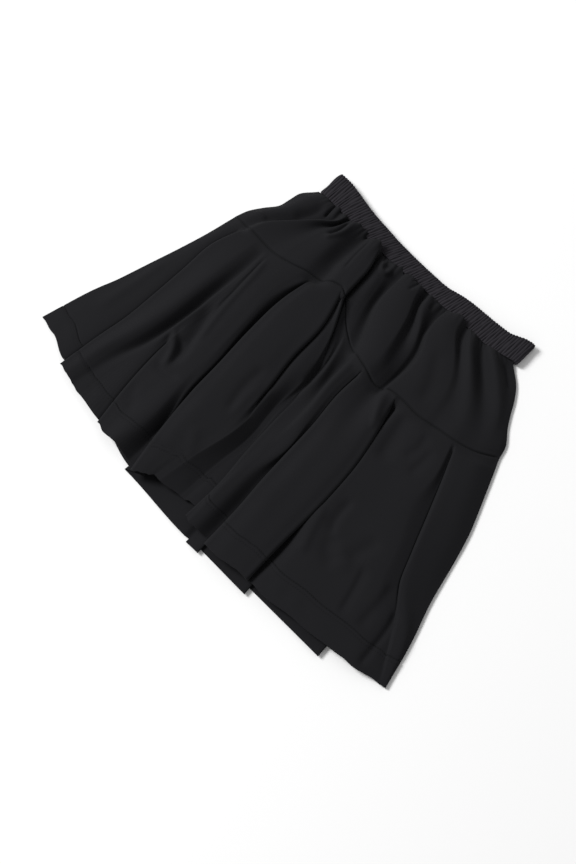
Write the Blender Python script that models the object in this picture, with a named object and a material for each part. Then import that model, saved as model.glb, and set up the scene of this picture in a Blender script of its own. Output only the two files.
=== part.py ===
"""A tennis skort laid flat on a table: elastic waistband, yokes, pleated skirt and inner shorts.

The front of the garment faces up. X runs along the waist, Y from the hem to the waist and Z up
from the table. The tables below are in millimetres on that plan, and the objects are in metres.
"""

import math
from collections import namedtuple

import bpy
import numpy as np

MM = 0.001

# Driving sizes in millimetres
CLOTH = 1.2  # thickness of one layer of the skirt cloth
SEAM_GAP = 0.3  # space left between two pieces at a seam
BEND = 1.0  # bend radius of a folded layer, at the middle of its thickness
WIDEST_BEND = 2.6  # bend radius where a pleat stands high enough for a soft edge
FULL_LAP = 7.0  # a pleat that laps this far over its neighbour is folded flat
SOFT_STEP = 8.0  # width of the soft step that a pleat fades into
SEWN = 0.08  # share of the skirt's length over which its pleats open, below the yoke seam
PLAN_CENTRE = (9.0, -26.6)  # middle of the laid garment on the plan

# Small gathers below the waistband
GATHER_PITCH = 10.5
GATHER_LIFT = 1.1
GATHER_FADE = 30.0  # how far down they reach

YOKE_RISE = 0.6  # power of the way down the yoke at which its heights are read

# The waistband
WAIST_MIDDLE = -12.5  # where the waistband is lowest, along X
WAIST_LEFT = -163.5
WAIST_RIGHT = 138.5
BAND_TOP = 174.0  # Y of its upper edge in the middle
BAND_TOP_RISE = 18.0  # how much higher that edge is at the sides
BAND_BOTTOM = 152.5  # Y of its lower edge in the middle
BAND_BOTTOM_RISE = 8.0
BAND_WALL = 2.4  # elastic with cloth on both faces, in the grooves between ribs
BAND_HEIGHT = 8.6  # of the flattened ring, above the table
RIB_PITCH = 3.5
RIB_HEIGHT = 0.6
RIB_EVERY = 4  # outer columns for each inner column over the ribs

# Side seams: the back edge lies on the table and the front edge just over it
BACK_EDGE_Z = CLOTH / 2
FRONT_EDGE_Z = BACK_EDGE_Z + CLOTH + SEAM_GAP

# Laps of the back's pleats and heights of their lower and upper layer, from the seam to the hem
BACK_LAP = (0.0, 0.0, 0.0, 6.0, 13.0)
BACK_LOW = (BACK_EDGE_Z,) * 4
BACK_HIGH = (BACK_EDGE_Z, BACK_EDGE_Z, 1.2, 5.2, 5.2)

# Side seams of the yoke at seven evenly spaced levels, from the waistband to the yoke seam
YOKE_LEFT = (-167.0, -182.5, -186.0, -189.0, -200.0, -209.5, -214.0)
YOKE_RIGHT = (139.0, 159.0, 171.0, 179.5, 189.0, 201.0, 206.0)

# Finest spacing of the points along a section
SKIRT_SPACING = 8.5
YOKE_SPACING = 5.0
BACK_SPACING = 16.0

# A soft ridge or valley runs from the upper to the lower edge of its panel. x and z are at four
# evenly spaced levels from the upper edge to the lower edge, and end_y is Y at the lower edge.
Crease = namedtuple("Crease", "name x z end_y")

# A pleat: over is 1 where the right side lies over the left and -1 where the left lies over the
# right. x is its outer edge, lap how far it lies over its neighbour, low the height of the lower
# layer and high that of the upper one, at the same four levels. end_y is Y at the lower edge for
# the lower and the upper layer.
Pleat = namedtuple("Pleat", "name over x lap low high end_y")

# A wrinkle is a ridge, or a hollow where lift is negative, from one place to another.
Wrinkle = namedtuple("Wrinkle", "x1 y1 x2 y2 width lift")

CROSSING_FOLD = "fold across the yoke seam"

# Y of the seam between yoke and skirt, along X
YOKE_SEAM = (
    (-214.0, 66.0),
    (-191.0, 64.0),
    (-168.0, 61.5),
    (-139.0, 62.0),
    (-114.0, 66.5),
    (-92.0, 73.0),
    (-66.0, 82.0),
    (-48.0, 76.0),
    (-30.0, 58.0),
    (-16.0, 50.0),
    (12.0, 37.5),
    (42.0, 30.5),
    (82.0, 31.5),
    (138.0, 40.0),
    (166.0, 43.0),
    (206.0, 68.0),
)

# x is at the waistband, a third and two thirds of the way down and the seam. z is at the waistband,
# a sixth and a half of the way down and the seam, for the folds puff up just below the waistband.
YOKE_FRONT = (
    Crease("left side", YOKE_LEFT, (4.2, FRONT_EDGE_Z, FRONT_EDGE_Z, FRONT_EDGE_Z), None),
    Crease("left slope", (-148, -168, -189, -203), (6.2, 6.8, 6.6, 6.4), None),
    Pleat(
        "left ridge", 1, (-118, -146, -176, -192), (0, 3, 4, 0), (6.0, 6.2, 6.8, 8.4),
        (7.6, 13.6, 14.4, 12.5), None,
    ),
    Crease("left hollow", (-110, -128, -142, -152), (6.2, 8.8, 11.4, 11.6), None),
    Crease("left bulge", (-102, -109, -118, -122), (8.6, 14.6, 14.6, 14.4), None),
    Crease("strip hollow", (-90, -96, -94, -91), (6.2, 7.6, 10.5, 14.0), None),
    Crease("strip crest", (-76, -75, -73, -76), (9.4, 17.6, 19.4, 19.4), None),
    Pleat(
        CROSSING_FOLD, -1, (-61, -53, -50, -48), (2, 7, 9, 9), (5.9, 6.2, 6.6, 7.6),
        (9.6, 17.6, 19.0, 19.0), None,
    ),
    Crease("deep valley", (-50, -45, -37, -27), (5.9, 6.2, 6.6, 7.4), None),
    Crease("low ridge", (-41, -36, -25, -13), (9.0, 13.4, 12.2, 9.6), None),
    Crease("dark valley", (-27, -20, -8, 3), (6.0, 7.4, 8.4, 10.2), None),
    Crease("middle ridge", (-13, -13, 0, 13), (9.4, 15.8, 16.8, 14.8), None),
    Crease("middle bulge", (1, 4, 18, 32), (8.8, 15.6, 16.6, 15.2), None),
    Crease("middle valley", (12, 23, 40, 53), (5.9, 7.4, 9.8, 12.8), None),
    Crease("small ridge", (23, 34, 50, 63), (9.2, 14.0, 13.8, 13.8), None),
    Crease("small valley", (37, 46, 60, 74), (6.0, 8.4, 12.4, 13.4), None),
    Crease("right ridge", (49, 56, 72, 84), (9.4, 15.2, 15.8, 14.8), None),
    Crease("right bulge", (60, 76, 94, 104), (8.8, 14.8, 15.0, 14.2), None),
    Crease("third valley", (70, 94, 114, 126), (5.9, 8.4, 12.0, 13.2), None),
    Crease("third ridge", (84, 114, 142, 154), (9.2, 14.6, 14.2, 13.4), None),
    Crease("fourth valley", (100, 129, 157, 171), (5.9, 6.8, 9.0, 11.4), None),
    Crease("fourth ridge", (114, 140, 170, 185), (9.0, 13.4, 12.6, 11.2), None),
    Crease("last valley", (126, 153, 180, 197), (5.8, 5.4, 5.2, 5.0), None),
    Crease("right side", YOKE_RIGHT, (4.2, FRONT_EDGE_Z, FRONT_EDGE_Z, FRONT_EDGE_Z), None),
)

# The levels are the yoke seam, a third and two thirds of the way down, and the hem.
SKIRT_FRONT = (
    Crease("left side", (-214, -232, -254, -276), (FRONT_EDGE_Z,) * 4, -182),
    Crease("left slope", (-203, -219, -240, -262), (6.4, 6.6, 6.6, 6.4), -188),
    Pleat(
        "first pleat", 1, (-192, -205, -206, -215), (2, 10, 16, 20), (8.0, 7.0, 7.0, 7.0),
        (12.5, 13.0, 13.0, 13.0), (-200, -207),
    ),
    Crease("first crest", (-172, -180, -187, -196), (12.6, 14.4, 13.8, 12.6), -210),
    Crease("first valley", (-150, -154, -165, -174), (11.2, 9.4, 7.8, 9.4), -214),
    Pleat(
        "second pleat", 1, (-136, -141, -147, -134), (0, 0, 3, 12), (12.4, 11.2, 8.8, 7.4),
        (13.6, 13.4, 15.2, 13.4), (-221, -224),
    ),
    Crease("second crest", (-122, -128, -121, -116), (14.6, 16.6, 14.8, 12.4), -228),
    Crease("second fall", (-110, -114, -106, -99), (12.8, 14.4, 11.6, 9.2), -227),
    Pleat(
        "third pleat", 1, (-90, -95, -84, -66), (5, 14, 20, 24), (8.6, 8.8, 7.6, 7.0),
        (17.6, 20.0, 19.0, 15.0), (-229, -236),
    ),
    Crease("third crest", (-78, -76, -62, -42), (19.4, 22.0, 19.6, 15.4), -227),
    Crease("third fall", (-67, -52, -37, -30), (19.4, 20.6, 16.4, 12.8), -221),
    Pleat(
        "third pleat right", -1, (-58, -30, -25, -18), (4, 8, 1, 0), (10.4, 11.8, 12.0, 11.4),
        (19.4, 20.0, 15.0, 11.8), (-218, -219),
    ),
    Pleat(
        CROSSING_FOLD, -1, (-48, -16, -10, -5), (9, 1, 0, 0), (7.6, 7.2, 9.0, 9.0),
        (19.0, 12.0, 11.4, 9.8), (-214, -215),
    ),
    Crease("deep valley", (-27, -6, 2, 5), (7.4, 6.6, 7.4, 7.6), -213),
    Pleat(
        "fourth pleat", 1, (14, 6, 15, 13), (4, 9, 15, 18), (8.4, 6.8, 6.8, 7.0),
        (14.8, 17.4, 15.8, 13.0), (-211, -228),
    ),
    Crease("fourth crest", (25, 17, 25, 24), (15.4, 17.8, 15.8, 12.8), -231),
    Pleat(
        "fifth pleat", 1, (37, 38, 43, 50), (4, 9, 16, 20), (8.8, 8.4, 7.2, 7.0),
        (15.0, 19.0, 19.0, 15.6), (-228, -236),
    ),
    Crease("fifth crest", (52, 60, 66, 70), (15.4, 21.0, 20.6, 17.0), -236),
    Crease("fifth fall", (68, 88, 97, 98), (14.6, 20.0, 19.6, 16.6), -232),
    Pleat(
        "fifth pleat right", -1, (84, 108, 115, 114), (5, 9, 15, 18), (7.4, 7.6, 7.2, 7.0),
        (14.8, 18.4, 18.4, 15.6), (-229, -231),
    ),
    Crease("side panel rise", (100, 121, 128, 134), (14.0, 12.4, 10.4, 9.4), -231),
    Crease("side panel", (122, 146, 168, 190), (13.2, 13.6, 12.6, 11.0), -223),
    Crease("side panel fall", (144, 176, 206, 248), (13.2, 12.6, 11.4, 9.6), -216),
    Pleat(
        "side pleat", 1, (164, 197, 231, 280), (4, 10, 9, 0), (8.4, 7.6, 6.6, 4.6),
        (13.0, 15.6, 14.2, 6.2), (-209, -208),
    ),
    Crease("side crest", (178, 214, 245, 287), (11.6, 13.0, 11.0, 4.4), -207),
    Crease("right side", (206, 243, 267, 294), (FRONT_EDGE_Z,) * 4, -206),
)

# The pleats of the back show below the front hem only, and lie open above that.
SKIRT_BACK = (
    Crease("left side", (-214, -232, -254, -276), (BACK_EDGE_Z,) * 4, -182),
    Pleat("back one", -1, (-118, -132, -146, -158), BACK_LAP, BACK_LOW, BACK_HIGH, (-209, -206)),
    Pleat("back two", -1, (-60, -62, -64, -66), BACK_LAP, BACK_LOW, BACK_HIGH, (-238, -233)),
    Pleat("back three", -1, (2, 10, 20, 29), BACK_LAP, BACK_LOW, BACK_HIGH, (-246, -243)),
    Pleat("back four", -1, (40, 50, 60, 69), BACK_LAP, BACK_LOW, BACK_HIGH, (-238, -241)),
    Pleat("back five", -1, (82, 95, 108, 119), BACK_LAP, BACK_LOW, BACK_HIGH, (-233, -242)),
    Pleat("back six", -1, (126, 152, 182, 221), BACK_LAP, BACK_LOW, BACK_HIGH, (-218, -233)),
    Crease("right side", (206, 243, 267, 294), (BACK_EDGE_Z,) * 4, -206),
)

YOKE_BACK = (
    Crease("left side", YOKE_LEFT, (BACK_EDGE_Z,) * 4, None),
    Crease("middle", (-12, -10, -6, -4), (BACK_EDGE_Z,) * 4, None),
    Crease("right side", YOKE_RIGHT, (BACK_EDGE_Z,) * 4, None),
)

FRONT_WRINKLES = (
    Wrinkle(-150, -99, -124, -108, 9.0, -2.2),
    Wrinkle(-148, -118, -128, -150, 12.0, 1.8),
    Wrinkle(-60, -60, -48, -150, 12.0, 1.2),
    Wrinkle(-20, -86, -21, -130, 8.0, -2.2),
    Wrinkle(-22, -134, -52, -181, 8.0, -2.4),
    Wrinkle(128, 0, 122, -90, 10.0, 1.6),
    Wrinkle(160, 10, 158, -60, 8.0, -1.4),
    Wrinkle(150, -120, 178, -150, 8.0, -1.6),
    Wrinkle(190, -80, 222, -165, 12.0, -1.8),
    Wrinkle(168, -60, 196, -130, 14.0, 1.8),
)

# Half of the shorts: how far the side seam and the centre seam are from the centre line, at each
# level from the waist down. Below the crotch the inner edge leaves the centre line.
SHORTS_LEVELS = (152.0, 85.0, 15.0, -8.0, -50.0)
SHORTS_HALF_WIDTH = (118.0, 136.0, 148.0, 151.0, 156.0)
SHORTS_INNER = (0.0, 0.0, 0.0, 5.0, 14.0)
SHORTS_BACK_Z = 2.35
SHORTS_FRONT_Z = 3.87
SHORTS_MIDDLE = -10.0
SHORTS_COLUMNS = 6


def clear_scene():
    for old in list(bpy.data.objects):
        bpy.data.objects.remove(old, do_unlink=True)


def material(name, colour, roughness):
    made = bpy.data.materials.new(name)
    made.use_nodes = True
    shader = made.node_tree.nodes["Principled BSDF"]
    shader.inputs["Base Color"].default_value = (*colour, 1.0)
    shader.inputs["Roughness"].default_value = roughness
    shader.inputs["Metallic"].default_value = 0.0
    return made


def between_levels(values, t):
    """A smooth curve through evenly spaced values, read at t from 0 to 1."""
    spans = len(values) - 1
    k = min(int(t * spans), spans - 1)
    u = t * spans - k
    before = 2 * values[0] - values[1]
    after = 2 * values[-1] - values[-2]
    a, b, c, d = (before, *values, after)[k : k + 4]
    return 0.5 * (2 * b + (c - a) * u + (2 * a - 5 * b + 4 * c - d) * u**2 + (3 * b - a - 3 * c + d) * u**3)


def ease(share):
    share = min(max(share, 0.0), 1.0)
    return share * share * (3 - 2 * share)


def yoke_seam_y(x):
    """Y of the yoke seam: a smooth curve through the places of YOKE_SEAM."""
    xs = [place[0] for place in YOKE_SEAM]
    ys = [place[1] for place in YOKE_SEAM]
    slopes = np.gradient(ys, xs)
    x = min(max(x, xs[0]), xs[-1])
    k = min(int(np.searchsorted(xs, x, side="right")) - 1, len(xs) - 2)
    step = xs[k + 1] - xs[k]
    u = (x - xs[k]) / step
    rise = ys[k] * (1 - ease(u)) + ys[k + 1] * ease(u)
    return rise + step * (slopes[k] * (u**3 - 2 * u**2 + u) + slopes[k + 1] * (u**3 - u**2))


def band_edge_y(x, middle, rise):
    half = (WAIST_RIGHT - WAIST_LEFT) / 2
    return middle + rise * ((x - WAIST_MIDDLE) / half) ** 2


def yoke_top_y(x):
    return band_edge_y(x, BAND_BOTTOM, BAND_BOTTOM_RISE) - SEAM_GAP


def half_seam_gap(x):
    """Half of the space at the yoke seam, measured along Y where the seam runs at a slant."""
    slope = (yoke_seam_y(x + 1) - yoke_seam_y(x - 1)) / 2
    return SEAM_GAP / 2 * math.hypot(1, slope)


def yoke_bottom_y(x):
    return yoke_seam_y(x) + half_seam_gap(x)


def skirt_top_y(x):
    return yoke_seam_y(x) - half_seam_gap(x)


def back_seam_y(x):
    """The back yoke ends in a straight seam between the two side seams."""
    (left_x, left_y), (right_x, right_y) = YOKE_SEAM[0], YOKE_SEAM[-1]
    return left_y + (right_y - left_y) * (x - left_x) / (right_x - left_x)


def back_yoke_bottom_y(x):
    return back_seam_y(x) + SEAM_GAP / 2


def back_skirt_top_y(x):
    return back_seam_y(x) - SEAM_GAP / 2


def pleat_lines(pleat, t, t_z, opened):
    """The six places of a pleat's section at t, left to right, each with the way the cloth runs.

    They go round the inner bend under the pleat and then round its outer edge. As the lap runs
    out, the places spread into a soft step.
    """
    edge = between_levels(pleat.x, t)
    low = between_levels(pleat.low, t_z)
    height = max(between_levels(pleat.high, t_z) - low, 0.0)
    room = ease((height * opened - 2 * BEND) / (2 * BEND + 0.4))
    lap = max(between_levels(pleat.lap, t), 0.0) * opened * room
    outer = min(max((height - 2 * BEND - 0.4) / 2, 0.6), WIDEST_BEND)
    folded = (
        (lap - BEND, 0.0, 1, 0),
        (lap, BEND, 0, 1),
        (lap - BEND, 2 * BEND, -1, 0.05),
        (outer, height - 2 * outer, -1, 0.05),
        (0.0, height - outer, 0, 1),
        (outer, height, 1, 0),
    )
    steepest = 1.5 * height / SOFT_STEP
    spread = tuple(
        (SOFT_STEP * (share - 0.5), height * ease(share), 1, steepest * ease(2 * min(share, 1 - share)))
        for share in (0.0, 0.25, 0.42, 0.58, 0.75, 1.0)
    )
    shut = ease(lap / FULL_LAP)
    lines = []
    for flat_place, spread_place in zip(folded, spread):
        across, up, way_x, way_z = (shut * a + (1 - shut) * b for a, b in zip(flat_place, spread_place))
        lines.append((edge + pleat.over * across, low + up, pleat.over * way_x, way_z))
    if pleat.over > 0:
        return lines
    return [(x, z, -way_x, -way_z) for x, z, way_x, way_z in reversed(lines)]


def pleat_end_y(pleat):
    """Y at the lower edge for the six places of a pleat: first the lower layer, then the upper."""
    if pleat.end_y is None:
        return [None] * 6
    under, upper = pleat.end_y
    values = [under + (upper - under) * share for share in (0.0, 0.0, 0.2, 0.8, 1.0, 1.0)]
    return values if pleat.over > 0 else values[::-1]


def section(rows, t, sewn_to=None, rise=1.0):
    """All places of a panel's section at t as x, z and the way the cloth runs, left to right.

    sewn_to gives the heights of the yoke's lower edge, which the panel starts from. rise is the
    power of t at which the heights are read.
    """
    opened = ease(t / SEWN) if sewn_to else 1.0
    places = []
    side = 0
    for row in rows:
        crossing = row.name == CROSSING_FOLD
        side = max(side, int(crossing))
        if not isinstance(row, Pleat):
            lines = [(between_levels(row.x, t), between_levels(row.z, t**rise), None, None)]
        else:
            lines = pleat_lines(row, t, t**rise, 1.0 if crossing else opened)
        if opened < 1 and not crossing:
            lines = [meet_seam(line, sewn_to[side], opened) for line in lines]
        places.extend(lines)
    whole = []
    for k, (x, z, way_x, way_z) in enumerate(places):
        if way_x is None:
            left, right = places[max(k - 1, 0)], places[min(k + 1, len(places) - 1)]
            way_x, way_z = right[0] - left[0], right[1] - left[1]
        size = math.hypot(way_x, way_z) or 1.0
        whole.append((x, z, way_x / size, way_z / size))
    return whole


def meet_seam(line, seam, opened):
    """A line of the skirt's section, drawn to the height of the yoke's edge where it is sewn on."""
    x, z, way_x, way_z = line
    edge_z = float(np.interp(x, *seam))
    if way_x is not None:
        slope = (float(np.interp(x + 1, *seam)) - float(np.interp(x - 1, *seam))) / 2
        way_x, way_z = way_x * opened + 1 - opened, way_z * opened + slope * (1 - opened)
    return x, z * opened + edge_z * (1 - opened), way_x, way_z


def yoke_edge_heights(rows):
    """Height along the yoke's lower edge, left and right of the fold that crosses the seam."""
    places = section(rows, 1.0)
    fold = 0
    for row in rows:
        if row.name == CROSSING_FOLD:
            break
        fold += 6 if isinstance(row, Pleat) else 1
    halves = []
    for run in (places[: fold + 2], places[fold + 4 :]):
        xs, zs = [], []
        for (x0, z0, wx0, wz0), (x1, z1, wx1, wz1) in zip(run, run[1:]):
            pull = math.hypot(x1 - x0, z1 - z0)
            for u in (0.0, 0.25, 0.5, 0.75):
                xs.append(hermite(x0, x1, wx0 * pull, wx1 * pull, u))
                zs.append(hermite(z0, z1, wz0 * pull, wz1 * pull, u))
        xs.append(run[-1][0])
        zs.append(run[-1][1])
        order = np.argsort(xs)
        halves.append((np.array(xs)[order], np.array(zs)[order]))
    return halves


def end_heights(rows):
    ends = []
    for row in rows:
        ends.extend(pleat_end_y(row) if isinstance(row, Pleat) else [row.end_y])
    return ends


def pieces_in_spans(rows, spacing, sewn_to, rise):
    """How many straight pieces each span of a section takes, from its longest length."""
    longest = None
    for t in (0.0, 1 / 3, 2 / 3, 1.0):
        places = section(rows, t, sewn_to, rise)
        lengths = [math.dist(a[:2], b[:2]) for a, b in zip(places, places[1:])]
        longest = lengths if longest is None else [max(pair) for pair in zip(longest, lengths)]
    return [max(1, math.ceil(length / spacing)) for length in longest]


def hermite(start, end, start_way, end_way, u):
    return (
        start * (2 * u**3 - 3 * u**2 + 1)
        + end * (3 * u**2 - 2 * u**3)
        + start_way * (u**3 - 2 * u**2 + u)
        + end_way * (u**3 - u**2)
    )


def section_points(places, pieces):
    """x and z of the points along a section, as smooth curves between its places."""
    points = []
    for (x0, z0, wx0, wz0), (x1, z1, wx1, wz1), count in zip(places, places[1:], pieces):
        pull = math.hypot(x1 - x0, z1 - z0)
        for step in range(count):
            u = step / count
            x = hermite(x0, x1, wx0 * pull, wx1 * pull, u)
            points.append((x, hermite(z0, z1, wz0 * pull, wz1 * pull, u)))
    points.append(places[-1][:2])
    return points


def hem_y(rows, pieces):
    """Y of the panel's lower edge for each point along a section."""
    ends = end_heights(rows)
    heights = []
    for start, end, count in zip(ends, ends[1:], pieces):
        heights.extend(start + (end - start) * ease(step / count) for step in range(count))
    return heights + [ends[-1]]


def lay_panel(rows, levels, spacing, top_y, bottom_y=None, sewn_to=None, rise=1.0):
    """The middle of a panel's wall: an array of rows by columns by x, y and z."""
    pieces = pieces_in_spans(rows, spacing, sewn_to, rise)
    tops = [top_y(x) for x, _ in section_points(section(rows, 0.0, sewn_to, rise), pieces)]
    if bottom_y is None:
        ends = hem_y(rows, pieces)
    else:
        ends = [bottom_y(x) for x, _ in section_points(section(rows, 1.0, sewn_to, rise), pieces)]
    grid = []
    for t in levels:
        points = section_points(section(rows, t, sewn_to, rise), pieces)
        grid.append([(x, top + (end - top) * t, z) for (x, z), top, end in zip(points, tops, ends)])
    return np.array(grid)


def add_wrinkles(grid, wrinkles):
    """Lifts a panel along its wrinkles, all layers alike, so that they stay apart."""
    for w in wrinkles:
        run = np.array([w.x2 - w.x1, w.y2 - w.y1])
        length = np.linalg.norm(run)
        away = grid[..., :2] - (w.x1, w.y1)
        along = (away @ run) / length**2
        beyond = np.maximum(np.maximum(-along, along - 1), 0) * length
        across = away @ (np.array([-run[1], run[0]]) / length)
        grid[..., 2] += w.lift * np.exp(-((across / w.width) ** 2) - (beyond / (1.5 * w.width)) ** 2)
    return grid


def wall(grid, thickness, rests_flat=False):
    """Inner and outer points of a wall round the panel's middle."""
    down = np.gradient(grid, axis=0)
    along = np.gradient(grid, axis=1)
    normal = np.cross(down, along)
    normal[0, :, 1] = 0.0
    normal[-1, :, 1] = 0.0
    normal /= np.linalg.norm(normal, axis=2, keepdims=True)
    upper = grid + normal * thickness / 2
    lower = grid - normal * thickness / 2
    if rests_flat:
        lower[..., 2] = np.where(lower[..., 2] < 0.05, 0.0, lower[..., 2])
    return upper, lower


def closed_sheet(name, upper, lower, finish):
    """One closed object from the upper and lower points of a wall."""
    rows, columns = upper.shape[:2]
    layer = rows * columns
    points = np.concatenate([upper.reshape(-1, 3), lower.reshape(-1, 3)])
    points = (points - (*PLAN_CENTRE, 0.0)) * MM

    faces = []
    for r in range(rows - 1):
        for c in range(columns - 1):
            a = r * columns + c
            b, d, e = a + 1, a + columns, a + columns + 1
            faces.append((a, d, e, b))
            faces.append((layer + a, layer + b, layer + e, layer + d))
    rim = [r * columns for r in range(rows)]
    rim += [(rows - 1) * columns + c for c in range(1, columns)]
    rim += [r * columns + columns - 1 for r in range(rows - 2, -1, -1)]
    rim += [c for c in range(columns - 2, 0, -1)]
    for a, b in zip(rim, rim[1:] + rim[:1]):
        faces.append((b, a, layer + a, layer + b))
    return new_object(name, points, faces, finish)


def new_object(name, points, faces, finish, sharp=60):
    mesh = bpy.data.meshes.new(name)
    mesh.from_pydata([tuple(p) for p in points], [], faces)
    mesh.materials.append(finish)
    mesh.shade_smooth()
    mesh.set_sharp_from_angle(angle=math.radians(sharp))
    made = bpy.data.objects.new(name, mesh)
    bpy.context.scene.collection.objects.link(made)
    return made


def gather(grid):
    """Small uneven gathers where the cloth leaves the waistband."""
    below = grid[:1, :, 1] - grid[..., 1]
    fade = np.exp(-((below / GATHER_FADE) ** 2)) * np.minimum(below / 4.0, 1.0)
    turn = 2 * math.pi * grid[:1, :, 0] / GATHER_PITCH
    wave = np.sin(turn + 1.3 * np.sin(turn / 3.7)) * (0.75 + 0.25 * np.sin(turn / 2.3))
    grid[..., 2] += GATHER_LIFT * fade * wave
    return grid


def make_panel(name, grid, finish, rests_flat=False):
    upper, lower = wall(grid, CLOTH, rests_flat)
    return closed_sheet(name, upper, lower, finish)


def ring_place(distance, inset):
    """Place and outward way on the flattened ring of the waistband, seen along Y.

    distance is measured round the ring from the left end of its upper side.
    """
    radius = BAND_HEIGHT / 2
    run = WAIST_RIGHT - WAIST_LEFT
    turn = math.pi * radius
    if distance < run:
        x, angle = WAIST_LEFT + distance, math.pi / 2
    elif distance < run + turn:
        x, angle = WAIST_RIGHT, math.pi / 2 - (distance - run) / radius
    elif distance < 2 * run + turn:
        x, angle = WAIST_RIGHT - (distance - run - turn), -math.pi / 2
    else:
        x, angle = WAIST_LEFT, -math.pi / 2 - (distance - 2 * run - turn) / radius
    out_x, out_z = math.cos(angle), math.sin(angle)
    reach = radius - inset
    return x + out_x * reach, radius + out_z * reach


def ring_stops():
    """Distances round the ring: crests and grooves of the ribs, and wide steps on the underside."""
    run = WAIST_RIGHT - WAIST_LEFT
    turn = math.pi * BAND_HEIGHT / 2
    ribs = RIB_EVERY * round(2 * (run + turn) / RIB_PITCH / RIB_EVERY)
    ribbed = [(k * (run + turn) / ribs, k % 2, k % RIB_EVERY == 0) for k in range(ribs)]
    wide = 12
    plain = [(run + turn + k * run / wide, 0, True) for k in range(wide)]
    around = 6
    left = [(2 * run + turn + k * turn / around, 0, True) for k in range(around)]
    return ribbed + plain + left


def waistband(finish):
    """The elastic waistband: a flattened ring, ribbed outside over a plain inside."""
    stops = ring_stops()
    widths = (0.0, 0.16, 0.5, 0.84, 1.0)
    crown = (0.7, 0.15, 0.0, 0.15, 0.7)
    outer = []
    for share, sink in zip(widths, crown):
        loop = []
        for distance, crest, _ in stops:
            inset = RIB_HEIGHT * (1 - crest) + sink
            x, z = ring_place(distance, inset)
            if z < 1.6:
                z = 0.0
            top = band_edge_y(x, BAND_TOP, BAND_TOP_RISE)
            bottom = band_edge_y(x, BAND_BOTTOM, BAND_BOTTOM_RISE)
            loop.append((x, top + (bottom - top) * share, z))
        outer.append(loop)
    inner = []
    for share in (0.0, 1.0):
        loop = []
        for distance, _, kept in stops:
            if not kept:
                continue
            x, z = ring_place(distance, BAND_WALL + RIB_HEIGHT)
            top = band_edge_y(x, BAND_TOP, BAND_TOP_RISE)
            bottom = band_edge_y(x, BAND_BOTTOM, BAND_BOTTOM_RISE)
            loop.append((x, top + (bottom - top) * share, z))
        inner.append(loop)

    around = len(stops)
    kept = [k for k, stop in enumerate(stops) if stop[2]]
    first_inner = around * len(outer)
    points = [p for loop in outer + inner for p in loop]
    faces = []
    for r in range(len(outer) - 1):
        for k in range(around):
            a, b = r * around + k, r * around + (k + 1) % around
            faces.append((a, a + around, b + around, b))
    for k in range(len(kept)):
        a, b = first_inner + k, first_inner + (k + 1) % len(kept)
        faces.append((b, b + len(kept), a + len(kept), a))
    for k in range(len(kept)):
        start = kept[k]
        stop = kept[(k + 1) % len(kept)] if k + 1 < len(kept) else around
        arc = [(start + j) % around for j in range(stop - start + 1)]
        a, b = first_inner + k, first_inner + (k + 1) % len(kept)
        half = len(arc) // 2
        upper = (len(outer) - 1) * around
        for j in range(len(arc) - 1):
            near = a if j < half else b
            faces.append((arc[j + 1], near, arc[j]))
            faces.append((upper + arc[j], near + len(kept), upper + arc[j + 1]))
        faces.append((arc[half], b, a))
        faces.append((upper + arc[half], a + len(kept), b + len(kept)))
    points = (np.array(points) - (*PLAN_CENTRE, 0.0)) * MM
    return new_object("waistband", points, faces, finish, sharp=15)


def shorts_panel(name, side, height, finish):
    """One flat quarter of the shorts, from its side seam to the centre seam and inseam."""
    grid = []
    for y, half, inner in zip(SHORTS_LEVELS, SHORTS_HALF_WIDTH, SHORTS_INNER):
        near = inner + SEAM_GAP / 2
        line = []
        for step in range(SHORTS_COLUMNS + 1):
            x = SHORTS_MIDDLE + side * (near + (half - near) * step / SHORTS_COLUMNS)
            line.append((x, yoke_top_y(x) if y == SHORTS_LEVELS[0] else y, height))
        grid.append(line if side > 0 else line[::-1])
    upper, lower = wall(np.array(grid), CLOTH)
    return closed_sheet(name, upper, lower, finish)


def main():
    clear_scene()
    jersey = material("black_jersey", (0.016, 0.016, 0.018), 0.85)
    elastic = material("ribbed_elastic", (0.02, 0.019, 0.022), 0.8)
    lining = material("shorts_jersey", (0.014, 0.014, 0.015), 0.8)

    yoke_levels = (0.0, 0.06, 0.16, 0.32, 0.54, 0.78, 1.0)
    skirt_levels = (0.0, 0.035, 0.06, 0.09, 0.17, 0.29, 0.43, 0.57, 0.71, 0.86, 1.0)
    back_levels = (0.0, 0.25, 0.5, 0.6, 0.7, 0.8, 0.9, 1.0)

    waistband(elastic)
    front = lay_panel(YOKE_FRONT, yoke_levels, YOKE_SPACING, yoke_top_y, yoke_bottom_y, rise=YOKE_RISE)
    make_panel("yoke_front", gather(front), jersey)
    front = lay_panel(
        SKIRT_FRONT, skirt_levels, SKIRT_SPACING, skirt_top_y, sewn_to=yoke_edge_heights(YOKE_FRONT)
    )
    make_panel("skirt_front", add_wrinkles(front, FRONT_WRINKLES), jersey)
    back = lay_panel(YOKE_BACK, (0.0, 0.33, 0.67, 1.0), BACK_SPACING, yoke_top_y, back_yoke_bottom_y)
    make_panel("yoke_back", back, jersey, rests_flat=True)
    back = lay_panel(SKIRT_BACK, back_levels, BACK_SPACING, back_skirt_top_y)
    make_panel("skirt_back", back, jersey, rests_flat=True)
    for name, side in (("left", -1), ("right", 1)):
        shorts_panel("shorts_front_" + name, side, SHORTS_FRONT_Z, lining)
        shorts_panel("shorts_back_" + name, side, SHORTS_BACK_Z, lining)


main()
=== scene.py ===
import math
from collections import namedtuple

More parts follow.
